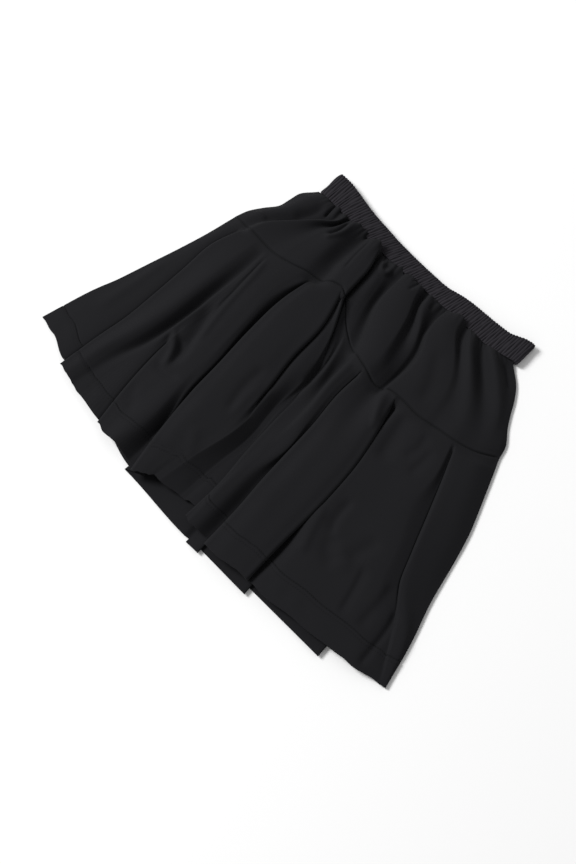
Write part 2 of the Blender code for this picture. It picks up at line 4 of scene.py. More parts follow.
import bpy
import numpy as np
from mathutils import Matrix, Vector


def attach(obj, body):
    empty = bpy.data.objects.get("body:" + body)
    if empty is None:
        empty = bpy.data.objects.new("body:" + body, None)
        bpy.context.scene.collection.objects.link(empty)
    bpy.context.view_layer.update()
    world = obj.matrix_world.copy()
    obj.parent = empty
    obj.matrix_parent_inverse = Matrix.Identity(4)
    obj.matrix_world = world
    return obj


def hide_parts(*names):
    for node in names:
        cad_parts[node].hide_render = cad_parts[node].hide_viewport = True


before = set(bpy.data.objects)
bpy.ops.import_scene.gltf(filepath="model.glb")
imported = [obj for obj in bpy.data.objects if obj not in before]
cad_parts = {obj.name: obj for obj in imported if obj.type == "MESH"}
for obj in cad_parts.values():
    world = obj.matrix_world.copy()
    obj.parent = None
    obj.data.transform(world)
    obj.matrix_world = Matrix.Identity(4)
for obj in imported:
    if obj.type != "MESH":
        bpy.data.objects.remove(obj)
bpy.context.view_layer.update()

# All tables are in millimetres on the plan of the laid skort: X along the waist, Y from hem to waist.
planCentre = (9.0, -26.6)

cloth = {
    "thickness": 1.15,
    "backZ": 0.6,  # middle of the wall of the back, which lies on the floor
    "frontZ": 2.1,  # middle of the wall of the front where it is lowest, clear of the back
    "restsBelow": 0.15,  # the underside of the back lies on the floor where it comes this near
    "sharp": 60,  # degrees between two faces, from which their edge is sharp
}

seam = {
    "gap": 0.3,
    "roll": 2.3,  # how far the edges turn down into it, and how wide the turn is
    "rollWidth": 1.35,
    "opening": 0.055,  # share of the skirt's length over which its pleats open below it
    "stitches": 1.9,  # above the yoke's lower edge
}

# A ridge or valley of the cloth: x and z at evenly spaced levels from the upper to the lower edge,
# and Y at the hem
Crease = namedtuple("Crease", "name x z endY", defaults=(None,))
# A folded edge. over is 1 where the right side lies over the left and -1 the other way round, soft
# the width of the soft step that the pleat fades into, and lip how high the cloth beside the pleat
# stands above its inner bend, up to a gap away from the edge. endY is for its under and upper layer.
Pleat = namedtuple(
    "Pleat", "name over x lap low high endY soft lip gap", defaults=(None, 8.0, None, None)
)
# A soft ridge, or a trough where lift is negative, along a curved path. steep is how many times as
# wide it is on its left side, and fade how long its ends run out.
Fold = namedtuple("Fold", "path width lift steep fade")

crossingFold = "fold across the yoke seam"

yokeSeam = (
    (-214, 66), (-191, 64), (-168, 62.5), (-139, 61.5), (-118, 65.5), (-98, 72), (-80, 76.5), (-66, 82),
    (-56, 83.5), (-46, 77), (-30, 62), (-14, 50), (10, 38.5), (32, 32), (50, 27.5), (68, 32.5),
    (88, 34.5), (112, 34), (138, 38.5), (162, 42), (186, 51), (206, 65),
)


# A value between evenly spaced levels, on a smooth curve through them
def betweenLevels(values, t):
    spans = len(values) - 1
    k = min(int(t * spans), spans - 1)
    u = t * spans - k
    before = 2 * values[0] - values[1]
    after = 2 * values[-1] - values[-2]
    a, b, c, d = (before, *values, after)[k : k + 4]
    return 0.5 * (2 * b + (c - a) * u + (2 * a - 5 * b + 4 * c - d) * u**2 + (3 * b - a - 3 * c + d) * u**3)


def ease(share):
    share = min(max(share, 0.0), 1.0)
    return share * share * (3 - 2 * share)


# A curve from start to end that leaves and arrives in the given ways
def hermite(start, end, startWay, endWay, u):
    return (
        start * (2 * u**3 - 3 * u**2 + 1)
        + end * (3 * u**2 - 2 * u**3)
        + startWay * (u**3 - 2 * u**2 + u)
        + endWay * (u**3 - u**2)
    )


def edgeY(x, edge):
    xs, ys = zip(*edge)
    slopes = np.gradient(ys, xs)
    x = min(max(x, xs[0]), xs[-1])
    k = min(int(np.searchsorted(xs, x, side="right")) - 1, len(xs) - 2)
    step = xs[k + 1] - xs[k]
    return hermite(ys[k], ys[k + 1], slopes[k] * step, slopes[k + 1] * step, (x - xs[k]) / step)


def yokeSeamY(x):
    return edgeY(x, yokeSeam)


def yokeTopY(x):
    return edgeY(x, band["bottom"]) - seam["gap"]


# Measured along Y, the gap is wider where the seam slopes
def halfSeamGap(x):
    slope = (yokeSeamY(x + 1) - yokeSeamY(x - 1)) / 2
    return seam["gap"] / 2 * math.hypot(1, slope)


def yokeBottomY(x):
    return yokeSeamY(x) + halfSeamGap(x)


def skirtTopY(x):
    return yokeSeamY(x) - halfSeamGap(x)


def backSeamY(x):
    (leftX, leftY), (rightX, rightY) = yokeSeam[0], yokeSeam[-1]
    return leftY + (rightY - leftY) * (x - leftX) / (rightX - leftX)


pleating = {
    "bend": 1.0,  # radius of a folded layer
    "tightest": 0.6,  # and widest radius of the outer edge
    "widest": 2.6,
    "ply": 0.4,  # room between the two bends
    "fullLap": 7.0,  # a pleat that laps this far is folded flat
    "softSteps": (0.0, 0.25, 0.42, 0.58, 0.75, 1.0),  # places across a soft step
    "upper": (0.0, 0.0, 0.2, 0.8, 1.0, 1.0),  # how far each place belongs to the upper layer
}
lip = {
    "leastGap": 0.5,
    "wideGap": (6.0, 10.0),  # a gap turns from narrow to wide from here on, over this far
    "step": (0.85, 3.4),  # length of the step, as a share of the gap and at most
    "foot": (0.3, 0.2),  # height left at its foot, as a share, and how much less in a wide gap
    "shoulder": 1.5,  # room kept above the foot
    "fullFall": 3.0,  # a lip of this height falls in full
    "ways": (-0.25, -1.6),  # slopes of the cloth at its outer and inner place
    "softSteps": (0.7, 0.35),  # its places where the pleat is a soft step
}


# The cloth beside a pleat dips into its gap: in a step where the gap is narrow, in an even slope
# where it is wide. This gives the outer and the inner place of the lip, folded and as a soft step.
def lipBeside(pleat, t, tZ, height, outer):
    start, over = lip["wideGap"]
    gap = max(betweenLevels(pleat.gap, t), lip["leastGap"])
    up = max(betweenLevels(pleat.lip, tZ), 0.0)
    wide = ease((gap - start) / over)
    stepShare, longestStep = lip["step"]
    step = min(stepShare * gap, longestStep)
    foot, lowerFoot = lip["foot"]
    dip = max(min(up * (foot - lowerFoot * wide), height - 2 * outer - lip["shoulder"]), 0.0)
    fall = min(up / lip["fullFall"], 1.0) * (1 - wide)
    slope = up / gap * wide
    outerWay, innerWay = lip["ways"]
    folded = [
        (-gap, up, 1, outerWay * fall - slope),
        (-gap + step + (gap - pleating["bend"] - step) * wide, dip, 1, innerWay * fall - slope),
    ]
    return folded, [(-pleat.soft / 2 - gap * share, 0.0) for share in lip["softSteps"]]


# The places of a pleat's section, left to right: the lip beside it, its inner bend and its outer
# edge, each with the way of the cloth there and how far that way holds
def pleatLines(pleat, t, tZ, opened):
    edge = betweenLevels(pleat.x, t)
    low = betweenLevels(pleat.low, tZ)
    height = max(betweenLevels(pleat.high, tZ) - low, 0.0)
    bend, ply = pleating["bend"], pleating["ply"]
    room = ease((height * opened - 2 * bend) / (2 * bend + ply))
    lap = max(betweenLevels(pleat.lap, t), 0.0) * opened * room
    outer = min(max((height - 2 * bend - ply) / 2, pleating["tightest"]), pleating["widest"])
    folded = [
        (lap - bend, 0.0, 1, 0),
        (lap, bend, 0, 1),
        (lap - bend, 2 * bend, -1, 0.05),
        (outer, height - 2 * outer, -1, 0.05),
        (0.0, height - outer, 0, 1),
        (outer, height, 1, 0),
    ]
    spread = [(pleat.soft * (share - 0.5), height * ease(share)) for share in pleating["softSteps"]]
    if pleat.lip:
        foldedLip, spreadLip = lipBeside(pleat, t, tZ, height, outer)
        folded, spread = foldedLip + folded, spreadLip + spread
    shut = ease(lap / pleating["fullLap"])
    lines = []
    for (x, z, wayX, wayZ), (spreadX, spreadZ) in zip(folded, spread):
        across, up = shut * x + (1 - shut) * spreadX, shut * z + (1 - shut) * spreadZ
        size = math.hypot(wayX, wayZ)
        lines.append((edge + pleat.over * across, low + up, wayX / size, pleat.over * wayZ / size, shut))
    return lines if pleat.over > 0 else lines[::-1]


def placesIn(row):
    if not isinstance(row, Pleat):
        return 1
    return len(pleating["softSteps"]) + (len(lip["softSteps"]) if row.lip else 0)


# Y of the hem at each place of a pleat, whose under and upper layers end apart
def pleatEndY(pleat):
    if pleat.endY is None:
        return [None] * placesIn(pleat)
    under, upper = pleat.endY
    values = [under + (upper - under) * share for share in pleating["upper"]]
    if pleat.lip:
        values = [under] * len(lip["softSteps"]) + values
    return values if pleat.over > 0 else values[::-1]


# Where it is sewn on, the skirt starts at the height of the yoke's lower edge
def meetSeam(line, yokeEdge, opened):
    x, z, wayX, wayZ, hold = line
    return x, z * opened + float(np.interp(x, *yokeEdge)) * (1 - opened), wayX, wayZ, hold * opened


# All places of a panel's section at one level: x, z and the way of the cloth
def section(panel, t, sewnTo=None):
    opened = ease(t / seam["opening"]) if sewnTo else 1.0
    tZ = t ** panel.get("rise", 1.0)
    places = []
    half = 0
    for row in panel["rows"]:
        crossing = row.name == crossingFold
        half = max(half, int(crossing))
        if isinstance(row, Pleat):
            lines = pleatLines(row, t, tZ, 1.0 if crossing else opened)
        else:
            lines = [(betweenLevels(row.x, t), betweenLevels(row.z, tZ), 1.0, 0.0, 0.0)]
        if opened < 1 and not crossing:
            lines = [meetSeam(line, sewnTo[half], opened) for line in lines]
        places.extend(lines)
    whole = []
    for k, (x, z, wayX, wayZ, hold) in enumerate(places):
        left, right = places[max(k - 1, 0)], places[min(k + 1, len(places) - 1)]
        run, climb = right[0] - left[0], right[1] - left[1]
        size = math.hypot(run, climb) or 1.0
        wayX, wayZ = wayX * hold + run / size * (1 - hold), wayZ * hold + climb / size * (1 - hold)
        size = math.hypot(wayX, wayZ) or 1.0
        whole.append((x, z, wayX / size, wayZ / size))
    return whole


# The columns at the places of the fold that crosses the seam
def crossingColumns(panel, pieces):
    rows = panel["rows"]
    at = [row.name for row in rows].index(crossingFold)
    start = sum(placesIn(row) for row in rows[:at])
    return [sum(pieces[: start + k]) for k in range(placesIn(rows[at]))]


# Heights of the yoke's lower edge on both sides of the fold across the seam. The left side ends at
# the fold's outer edge, its second place, and the right side starts at its inner bend, the fifth.
def yokeEdgeHeights(grid, panel):
    columns = crossingColumns(panel, piecesInSpans(panel))
    halves = []
    for run in (grid[-1, : columns[1] + 1], grid[-1, columns[4] :]):
        order = np.argsort(run[:, 0])
        halves.append((run[order, 0], run[order, 2]))
    return halves


# The curve through the places of a section, in as many pieces as each span has
def sectionPoints(places, pieces):
    points = []
    for (x0, z0, wx0, wz0), (x1, z1, wx1, wz1), count in zip(places, places[1:], pieces):
        pull = math.hypot(x1 - x0, z1 - z0)
        for step in range(count):
            u = step / count
            x = hermite(x0, x1, wx0 * pull, wx1 * pull, u)
            points.append((x, hermite(z0, z1, wz0 * pull, wz1 * pull, u)))
    points.append(places[-1][:2])
    return points


def evenLevels(count):
    return tuple(k / count for k in range(count + 1))


# How many pieces each span of a section needs at its longest
def piecesInSpans(panel, sewnTo=None):
    longest = None
    for t in evenLevels(6):
        places = section(panel, t, sewnTo)
        lengths = [math.dist(a[:2], b[:2]) for a, b in zip(places, places[1:])]
        longest = lengths if longest is None else [max(pair) for pair in zip(longest, lengths)]
    return [max(2, math.ceil(length / panel["spacing"])) for length in longest]


# Y of the hem on each column
def hemYs(rows, pieces):
    ends = []
    for row in rows:
        ends.extend(pleatEndY(row) if isinstance(row, Pleat) else [row.endY])
    heights = []
    for start, end, count in zip(ends, ends[1:], pieces):
        heights.extend(start + (end - start) * ease(step / count) for step in range(count))
    return heights + [ends[-1]]


# Between the places of a section too, the top of the skirt keeps to the yoke's edge
def pinToSeam(points, crossing, edges, share):
    pinned = []
    for column, (x, z) in enumerate(points):
        if not crossing[0] <= column <= crossing[-1]:
            z += (float(np.interp(x, *edges[column > crossing[-1]])) - z) * share
        pinned.append((x, z))
    return pinned


# The middle of a panel's wall, rows by columns by x, y and z. A panel with no lower edge of its own
# ends at the hem.
def layPanel(panel, levels, topY, bottomY=None, sewnTo=None):
    pieces = piecesInSpans(panel, sewnTo)
    tops = [topY(x) for x, _ in sectionPoints(section(panel, 0.0, sewnTo), pieces)]
    if bottomY is None:
        ends = hemYs(panel["rows"], pieces)
    else:
        ends = [bottomY(x) for x, _ in sectionPoints(section(panel, 1.0, sewnTo), pieces)]
    crossing = crossingColumns(panel, pieces) if sewnTo else None
    grid = []
    for t in levels:
        points = sectionPoints(section(panel, t, sewnTo), pieces)
        if sewnTo and t < seam["opening"]:
            points = pinToSeam(points, crossing, sewnTo, 1 - ease(t / seam["opening"]))
        line = []
        for (x, z), top, end in zip(points, tops, ends):
            # towards a hem the rows keep the same distance from the edge on every column
            length = top - end
            if bottomY is None:
                length += (hem["rowLength"] - length) * ease((t - hem["levelFrom"]) / hem["levelOver"])
            line.append((x, end + length * (1 - t), z))
        grid.append(line)
    return np.array(grid)


# A smooth path through a fold's few places, as short straight pieces
def smoothPath(places, pieces=8):
    places = np.array(places, dtype=float)
    ways = np.gradient(places, axis=0)
    path = []
    for k in range(len(places) - 1):
        for step in range(pieces):
            path.append(hermite(places[k], places[k + 1], ways[k], ways[k + 1], step / pieces))
    path.append(places[-1])
    return np.array(path)


# For each point of a plan, its place along a path, how far across it lies and the path's length
def besidePath(flat, path):
    nearest = np.full(flat.shape[:2], np.inf)
    across = np.zeros(flat.shape[:2])
    along = np.zeros(flat.shape[:2])
    done = 0.0
    for start, end in zip(path, path[1:]):
        run = end - start
        length = np.linalg.norm(run)
        way = run / length
        away = flat - start
        share = np.clip(away @ way, 0.0, length)
        gap = away - share[..., None] * way
        distance = np.hypot(gap[..., 0], gap[..., 1])
        closer = distance < nearest
        nearest = np.where(closer, distance, nearest)
        leftOf = away @ np.array([-way[1], way[0]])
        across = np.where(closer, np.sign(leftOf) * distance, across)
        along = np.where(closer, done + share, along)
        done += length
    return along, across, done


def layFolds(grid, folds):
    flat = grid[..., :2]
    lift = np.zeros(grid.shape[:2])
    for fold in folds:
        along, across, whole = besidePath(flat, smoothPath(fold.path))
        narrow = np.where(across > 0, fold.width * fold.steep, fold.width)
        ends = np.clip(np.minimum(along, whole - along) / fold.fade, 0.0, 1.0)
        lift += fold.lift * np.exp(-((across / narrow) ** 2)) * ends * ends * (3 - 2 * ends)
    grid[..., 2] += lift
    return grid


# Length of cloth down each column
def alongColumns(grid):
    steps = np.linalg.norm(np.diff(grid, axis=0), axis=2)
    down = np.zeros(grid.shape[:2])
    down[1:] = np.cumsum(steps, axis=0)
    return down


gathers = {
    # puffs over the lower edge of the band: x, reach up over it and half width
    "puffs": (
        (-152, 2.5, 9), (-136, 5.5, 6), (-124, 4.5, 5), (-112, 2.0, 4), (-99, 6.5, 6), (-88, 8.0, 6),
        (-69, 7.5, 7), (-58, 3.0, 4), (-39, 4.0, 5), (-29, 7.5, 5), (-13, 4.0, 6), (4, 3.0, 6), (20, 1.5, 5),
        (33, 2.0, 4), (62, 7.0, 9), (77, 3.0, 4), (87, 1.5, 4), (112, 1.2, 4), (126, 2.0, 5),
    ),
    "puffEnds": ((-166, 5), (138, 6)),  # where they fade out at the sides, and over how far
    "puffStart": (1.2, 3.0),  # below the band, and over how far
    "puffLength": (4.5, 6.5),  # how far down they are full, and how soon they fade
    "puffRise": 0.42,
    # the fine gathers between them
    "pitch": 6.3,
    "ends": ((-160, 8), (132, 8)),
    "start": 2.0,
    "length": 8.5,
    "height": 0.85,
}


# From 0 to 1 on the way in from both sides, in straight slopes
def fadeAtEnds(x, ends):
    (left, leftOver), (right, rightOver) = ends
    return np.clip((x - left) / leftOver, 0, 1) * np.clip((right - x) / rightOver, 0, 1)


# Soft folds and fine gathers of the yoke where it leaves the waistband
def puffUp(grid):
    top = grid[:1, :, 0]
    below = alongColumns(grid)
    reach = sum(up * np.exp(-(((top - x) / half) ** 2)) for x, up, half in gathers["puffs"])
    reach *= fadeAtEnds(top, gathers["puffEnds"])
    start, over = gathers["puffStart"]
    full, length = gathers["puffLength"]
    puff = np.clip((below - start) / over, 0, 1) * np.exp(-((np.maximum(below - full, 0) / length) ** 2))
    grid[..., 1] += reach * puff
    grid[..., 2] += gathers["puffRise"] * reach * puff
    turn = 2 * math.pi * top / gathers["pitch"]
    wave = np.sin(turn + 1.6 * np.sin(top / 7.9)) * (0.7 + 0.3 * np.sin(top / 3.1))
    fine = np.clip(below / gathers["start"], 0, 1) * np.exp(-((below / gathers["length"]) ** 2))
    grid[..., 2] += gathers["height"] * wave * fine * fadeAtEnds(top, gathers["ends"])
    return grid


clearance = {
    "shortsReach": (152, 8),  # half width of the shorts under the cloth, and over how far they end
    "clear": 2.6,  # least height of the middle of a wall over the back
    "shorts": 2.7,  # and what the shorts add to it
}


# The two edges at a seam turn down into it, but less where the cloth lies low over the shorts or
# over the back
def rollEdge(grid, fromTop):
    below = alongColumns(grid)
    distance = below if fromTop else below[-1] - below
    reach, over = clearance["shortsReach"]
    overShorts = np.clip((reach - np.abs(grid[..., 0] - shorts["middle"])) / over, 0, 1)
    room = np.clip(grid[..., 2] - clearance["clear"] - clearance["shorts"] * overShorts, 0, seam["roll"])
    grid[..., 2] -= room * np.exp(-((distance / seam["rollWidth"]) ** 2))
    return grid


hem = {
    "rows": (27.5, 32.0),  # of stitches, above the edge
    "furrows": (0.45, 1.0),  # share of the furrow that each row sinks into
    "rowLength": 300.0,  # the rows near the hem are set out on this length of cloth
    "levelFrom": 0.6,  # share of the length at which the rows turn level with the edge
    "levelOver": 0.28,
    "layer": 0.6,  # what the turned-up layer adds to the height
    "layerStep": (0.4, 1.6),  # where it starts above the upper stitches, and over how far
    "furrow": 1.1,
    "ripple": 0.22,
    "rippleAt": (16, 9),  # above the edge, and half width
    # x, and how deep the hem looks there as a share of its usual depth
    "depth": (
        (-276, 0.84), (-216, 0.84), (-215, 0.78), (-150, 0.84), (-134, 0.92), (-100, 1.0), (-68, 1.24),
        (-10, 1.12), (13, 1.06), (30, 1.0), (60, 1.02), (112, 1.0), (294, 0.98),
    ),
    # of the panel's rows near the hem, above its edge
    "distances": (
        36.5, 35.2, 34.2, 33.5, 32.9, 32.4, 32.0, 31.6, 31.1, 30.4, 29.6, 28.9, 28.4, 27.9, 27.5, 27.1, 26.6,
        26.0, 25.0, 23.0, 20.5, 18.0, 15.0, 12.0, 9.0, 6.0, 3.6, 1.8, 0.7, 0.0,
    ),
}


# Height above the edge of the hem, in its own measure: it is stretched where the hem looks deeper
def aboveHem(grid):
    below = alongColumns(grid)
    return (below[-1] - below) / np.interp(grid[-1, :, 0], *zip(*hem["depth"]))


# The double cloth of a hem and the furrows of its two rows of stitches
def turnHem(grid):
    above = aboveHem(grid)
    start, over = hem["layerStep"]
    double = np.clip((hem["rows"][-1] + start - above) / over, 0, 1)
    grid[..., 2] += hem["layer"] * double * double * (3 - 2 * double)
    for row, share in zip(hem["rows"], hem["furrows"]):
        grid[..., 2] -= hem["furrow"] * share * np.exp(-((above - row) ** 2))
    # the edge between the stitches and the fold of the hem draws in and out a little
    middle, half = hem["rippleAt"]
    edge = grid[-1:, :, 0]
    ripple = np.sin(edge / 5.3 + 2 * np.sin(edge / 23.0)) * np.clip(above / half, 0, 1)
    grid[..., 2] += hem["ripple"] * ripple * np.exp(-(((above - middle) / half) ** 2))
    return grid


def gridNormals(grid):
    normal = np.cross(np.gradient(grid, axis=0), np.gradient(grid, axis=1))
    size = np.linalg.norm(normal, axis=2, keepdims=True)
    return normal / np.maximum(size, 1e-9)


# From millimetres on the plan to metres in the scene
def inScene(points):
    return (points - (*planCentre, 0.0)) * 0.001


# Four-sided faces between the rows and columns of a grid
def sheetFaces(cells, upwards=True):
    corners = [cells[:-1, :-1], cells[1:, :-1], cells[1:, 1:], cells[:-1, 1:]]
    if not upwards:
        corners = [corners[k] for k in (0, 3, 2, 1)]
    return np.stack(corners, axis=2).reshape(-1, 4).tolist()


# One closed piece of cloth from the middle of its wall, with its own UV map in metres of cloth;
# its underside keeps every second row
def clothPiece(name, grid, finish, thickness=cloth["thickness"], restsFlat=False):
    normal = gridNormals(grid)
    upper, lower = grid + normal * thickness / 2, grid - normal * thickness / 2
    if restsFlat:
        lower[..., 2] = np.where(lower[..., 2] < cloth["restsBelow"], 0.0, lower[..., 2])
    rows, columns = grid.shape[:2]
    kept = np.append(np.arange(0, rows - 1, 2), rows - 1)
    points = inScene(np.concatenate([upper.reshape(-1, 3), lower[kept].reshape(-1, 3)]))

    across = np.zeros((rows, columns))
    across[:, 1:] = np.cumsum(np.linalg.norm(np.diff(grid, axis=1), axis=2), axis=1)
    across -= across[:, columns // 2 : columns // 2 + 1]
    middle = np.broadcast_to(across[rows // 2], across.shape)
    places = np.stack([middle, -alongColumns(grid)], axis=2) * 0.001
    places = np.concatenate([places.reshape(-1, 2), places[kept].reshape(-1, 2)])

    cells = np.arange(rows * columns).reshape(rows, columns)
    under = np.arange(len(kept) * columns).reshape(len(kept), columns) + rows * columns
    faces = sheetFaces(cells) + sheetFaces(under, upwards=False)
    for column in range(columns - 1):
        for above, below, far in ((cells[0], under[0], 0), (cells[-1], under[-1], 1)):
            a, b = column + far, column + 1 - far
            faces.append([int(above[a]), int(above[b]), int(below[b]), int(below[a])])
    for k in range(len(kept) - 1):
        span = cells[kept[k] : kept[k + 1] + 1]
        faces.append([*span[::-1, 0].tolist(), int(under[k, 0]), int(under[k + 1, 0])])
        faces.append([*span[:, -1].tolist(), int(under[k + 1, -1]), int(under[k, -1])])
    return meshPiece(name, points, faces, finish, places)


# places is the piece's UV map in metres. Stitches have none, and are smooth all over.
def meshPiece(name, points, faces, finish, places=None):
    mesh = bpy.data.meshes.new(name)
    mesh.from_pydata(points.tolist(), [], faces)
    mesh.materials.append(finish)
    mesh.shade_smooth()
    if places is not None:
        layer = mesh.uv_layers.new(name="cloth")
        corners = np.empty(len(mesh.loops), dtype=np.int32)
        mesh.loops.foreach_get("vertex_index", corners)
        layer.data.foreach_set("uv", places[corners].ravel())
        mesh.set_sharp_from_angle(angle=math.radians(cloth["sharp"]))
    made = bpy.data.objects.new(name, mesh)
    bpy.context.scene.collection.objects.link(made)
    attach(made, "root")
    return made


def setInputs(node, values):
    for name, value in values.items():
        node.inputs[name].default_value = value


def plainMaterial(name, colour, roughness, specular=0.5):
    made = bpy.data.materials.new(name)
    made.use_nodes = True
    look = {"Base Color": (*colour, 1.0), "Roughness": roughness, "Specular IOR Level": specular}
    setInputs(made.node_tree.nodes["Principled BSDF"], look)
    return made


yarn = {
    "legs": 0.9,  # how far the two legs of a loop lean against each other
    "courses": 0.5,  # how deep the dips between two courses are
    "dye": (9.0, 2.0, 0.16),  # scale, detail and how much it changes the shade
    "fibre": (900.0, 3.0, 0.22),
    "loops": 0.1,  # painted light: how much lighter the top of a loop is painted than the dips between loops
    "ground": 0.76,  # the darkest shade
    "bump": 0.5,
    "sheen": 0.015,
    "sheenRoughness": 0.5,
}


# The loops of a knit on the cloth's own map, and how its dye and fibres vary, with painted light that makes
# the tops of the loops lighter and the dips between them darker
def knitGroup():
    group = bpy.data.node_groups.new("knittedLoops", "ShaderNodeTree")
    sockets = group.interface
    sockets.new_socket("Cloth", in_out="INPUT", socket_type="NodeSocketVector")
    sockets.new_socket("Loops per metre", in_out="INPUT", socket_type="NodeSocketFloat")
    sockets.new_socket("Height", in_out="OUTPUT", socket_type="NodeSocketFloat")
    # Shade holds the dye and fibre tones together with the painted light on the loops
    sockets.new_socket("Shade", in_out="OUTPUT", socket_type="NodeSocketFloat")
    nodes, links = group.nodes, group.links
    start, end = nodes.new("NodeGroupInput"), nodes.new("NodeGroupOutput")

    def workOut(operation, *values):
        node = nodes.new("ShaderNodeMath")
        node.operation = operation
        for place, value in zip(node.inputs, values):
            if isinstance(value, (int, float)):
                place.default_value = value
            else:
                links.new(value, place)
        return node.outputs[0]

    def noise(scale, detail, amount):
        node = nodes.new("ShaderNodeTexNoise")
        setInputs(node, {"Scale": scale, "Detail": detail})
        links.new(start.outputs["Cloth"], node.inputs["Vector"])
        return workOut("MULTIPLY", node.outputs["Fac"], amount)

    split = nodes.new("ShaderNodeSeparateXYZ")
    links.new(start.outputs["Cloth"], split.inputs[0])
    turn = workOut("MULTIPLY", start.outputs["Loops per metre"], math.pi)
    across = workOut("MULTIPLY", split.outputs["X"], turn)
    along = workOut("MULTIPLY", split.outputs["Y"], turn)
    wale = workOut("ABSOLUTE", workOut("SINE", across))
    leg = workOut("MULTIPLY", workOut("SINE", workOut("MULTIPLY", across, 2.0)), yarn["legs"])
    course = workOut("ABSOLUTE", workOut("SINE", workOut("ADD", along, leg)))
    course = workOut("ADD", workOut("MULTIPLY", course, yarn["courses"]), 1 - yarn["courses"])
    height = workOut("MULTIPLY", wale, course)
    links.new(height, end.inputs["Height"])
    fibres = workOut("ADD", noise(*yarn["dye"]), noise(*yarn["fibre"]))
    # painted highlight and shade: the colour is lighter on the tops of the loops and darker in the dips
    # between them
    shade = workOut("ADD", fibres, workOut("MULTIPLY", height, yarn["loops"]))
    links.new(workOut("ADD", shade, yarn["ground"]), end.inputs["Shade"])
    return group


def knitMaterial(name, colour, roughness, specular, loops, relief):
    made = plainMaterial(name, colour, roughness, specular)
    nodes, links = made.node_tree.nodes, made.node_tree.links
    shader = nodes["Principled BSDF"]
    loopsNode = nodes.new("ShaderNodeGroup")
    loopsNode.node_tree = knitting
    loopsNode.inputs["Loops per metre"].default_value = loops
    place = nodes.new("ShaderNodeUVMap")
    place.uv_map = "cloth"
    links.new(place.outputs["UV"], loopsNode.inputs["Cloth"])
    # the base colour is scaled by the dye and fibre tones and by the painted light on the loops
    dyed = nodes.new("ShaderNodeVectorMath")
    dyed.operation = "SCALE"
    dyed.inputs[0].default_value = colour
    links.new(loopsNode.outputs["Shade"], dyed.inputs["Scale"])
    links.new(dyed.outputs[0], shader.inputs["Base Color"])
    bump = nodes.new("ShaderNodeBump")
    setInputs(bump, {"Strength": yarn["bump"], "Distance": relief})
    links.new(loopsNode.outputs["Height"], bump.inputs["Height"])
    links.new(bump.outputs[0], shader.inputs["Normal"])
    setInputs(shader, {"Sheen Weight": yarn["sheen"], "Sheen Roughness": yarn["sheenRoughness"]})
    return made


# colour, roughness, specular, loops to the metre and how high they stand
knits = {
    "blackJersey": ((0.0108, 0.0108, 0.0121), 0.85, 0.06, 1100.0, 0.0001),
    "ribbedElastic": ((0.018, 0.0165, 0.02), 0.8, 0.12, 900.0, 0.00012),
    "shortsJersey": ((0.011, 0.011, 0.012), 0.8, 0.06, 1400.0, 0.00008),
}
knitting = knitGroup()
jersey, elastic, shortsJersey = (knitMaterial(name, *values) for name, values in knits.items())
blackThread = plainMaterial("blackThread", (0.010, 0.010, 0.011), 0.7, 0.08)


# Places along one line of a grid's columns, at a distance from its lower or upper edge
def lineOnGrid(grid, distance, fromTop=False):
    measured = alongColumns(grid) if fromTop else aboveHem(grid)
    normal = gridNormals(grid)
    places, ways = [], []
    for column in range(grid.shape[1]):
        row = measured[:, column]
        order = np.argsort(row)
        places.append([np.interp(distance, row[order], grid[order, column, k]) for k in range(3)])
        ways.append([np.interp(distance, row[order], normal[order, column, k]) for k in range(3)])
    return np.array(places), np.array(ways)


thread = {
    "radius": 0.34,
    "stitch": 3.0,
    "between": 0.5,
    "sink": 0.9,  # how deep its ends go into the cloth, in radii
    "ahead": 0.6,  # how far along the line its way is read
    "sides": 6,
    "profile": ((-0.5, 0.12), (-0.34, 0.85), (0.0, 1.0), (0.34, 0.85), (0.5, 0.12)),  # place, thickness
}


# One stitch, a small bead whose ends sink into the cloth
def stitchBead(at, way, out, first):
    aside = np.cross(out, way)
    sides, radius = thread["sides"], thread["radius"]
    points, faces = [], []
    for reach, size in thread["profile"]:
        sunk = radius * thread["sink"] * (1 - size)
        for corner in range(sides):
            turn = math.tau * corner / sides
            spot = at + way * reach * (thread["stitch"] - thread["between"]) - out * sunk
            points.append(spot + (aside * math.cos(turn) + out * math.sin(turn)) * radius * size)
    rings = len(thread["profile"]) - 1
    for ring in range(rings):
        for corner in range(sides):
            a = first + ring * sides + corner
            b = first + ring * sides + (corner + 1) % sides
            faces.append((a, b, b + sides, a + sides))
    faces.append(tuple(first + sides - 1 - k for k in range(sides)))
    faces.append(tuple(first + rings * sides + k for k in range(sides)))
    return points, faces


# Stitches of thread along lines of places, each with the outward ways there, pressed into the cloth
def stitchPiece(name, lines, start=0.0):
    points, faces = [], []
    for places, ways in lines:
        steps = np.linalg.norm(np.diff(places, axis=0), axis=1)
        along = np.concatenate([[0.0], np.cumsum(steps)])

        def between(values, distance):
            return np.array([np.interp(distance, along, values[:, k]) for k in range(3)])

        middle = start + thread["stitch"] / 2
        while middle < along[-1] - thread["stitch"] / 2:
            at = between(places, middle)
            out = between(ways, middle)
            out /= np.linalg.norm(out)
            way = between(places, middle + thread["ahead"]) - at
            way /= np.linalg.norm(way)
            bead = stitchBead(at + out * cloth["thickness"] / 2, way, out, len(points))
            points.extend(bead[0])
            faces.extend(bead[1])
            middle += thread["stitch"]
    return meshPiece(name, inScene(np.array(points)), faces, blackThread)


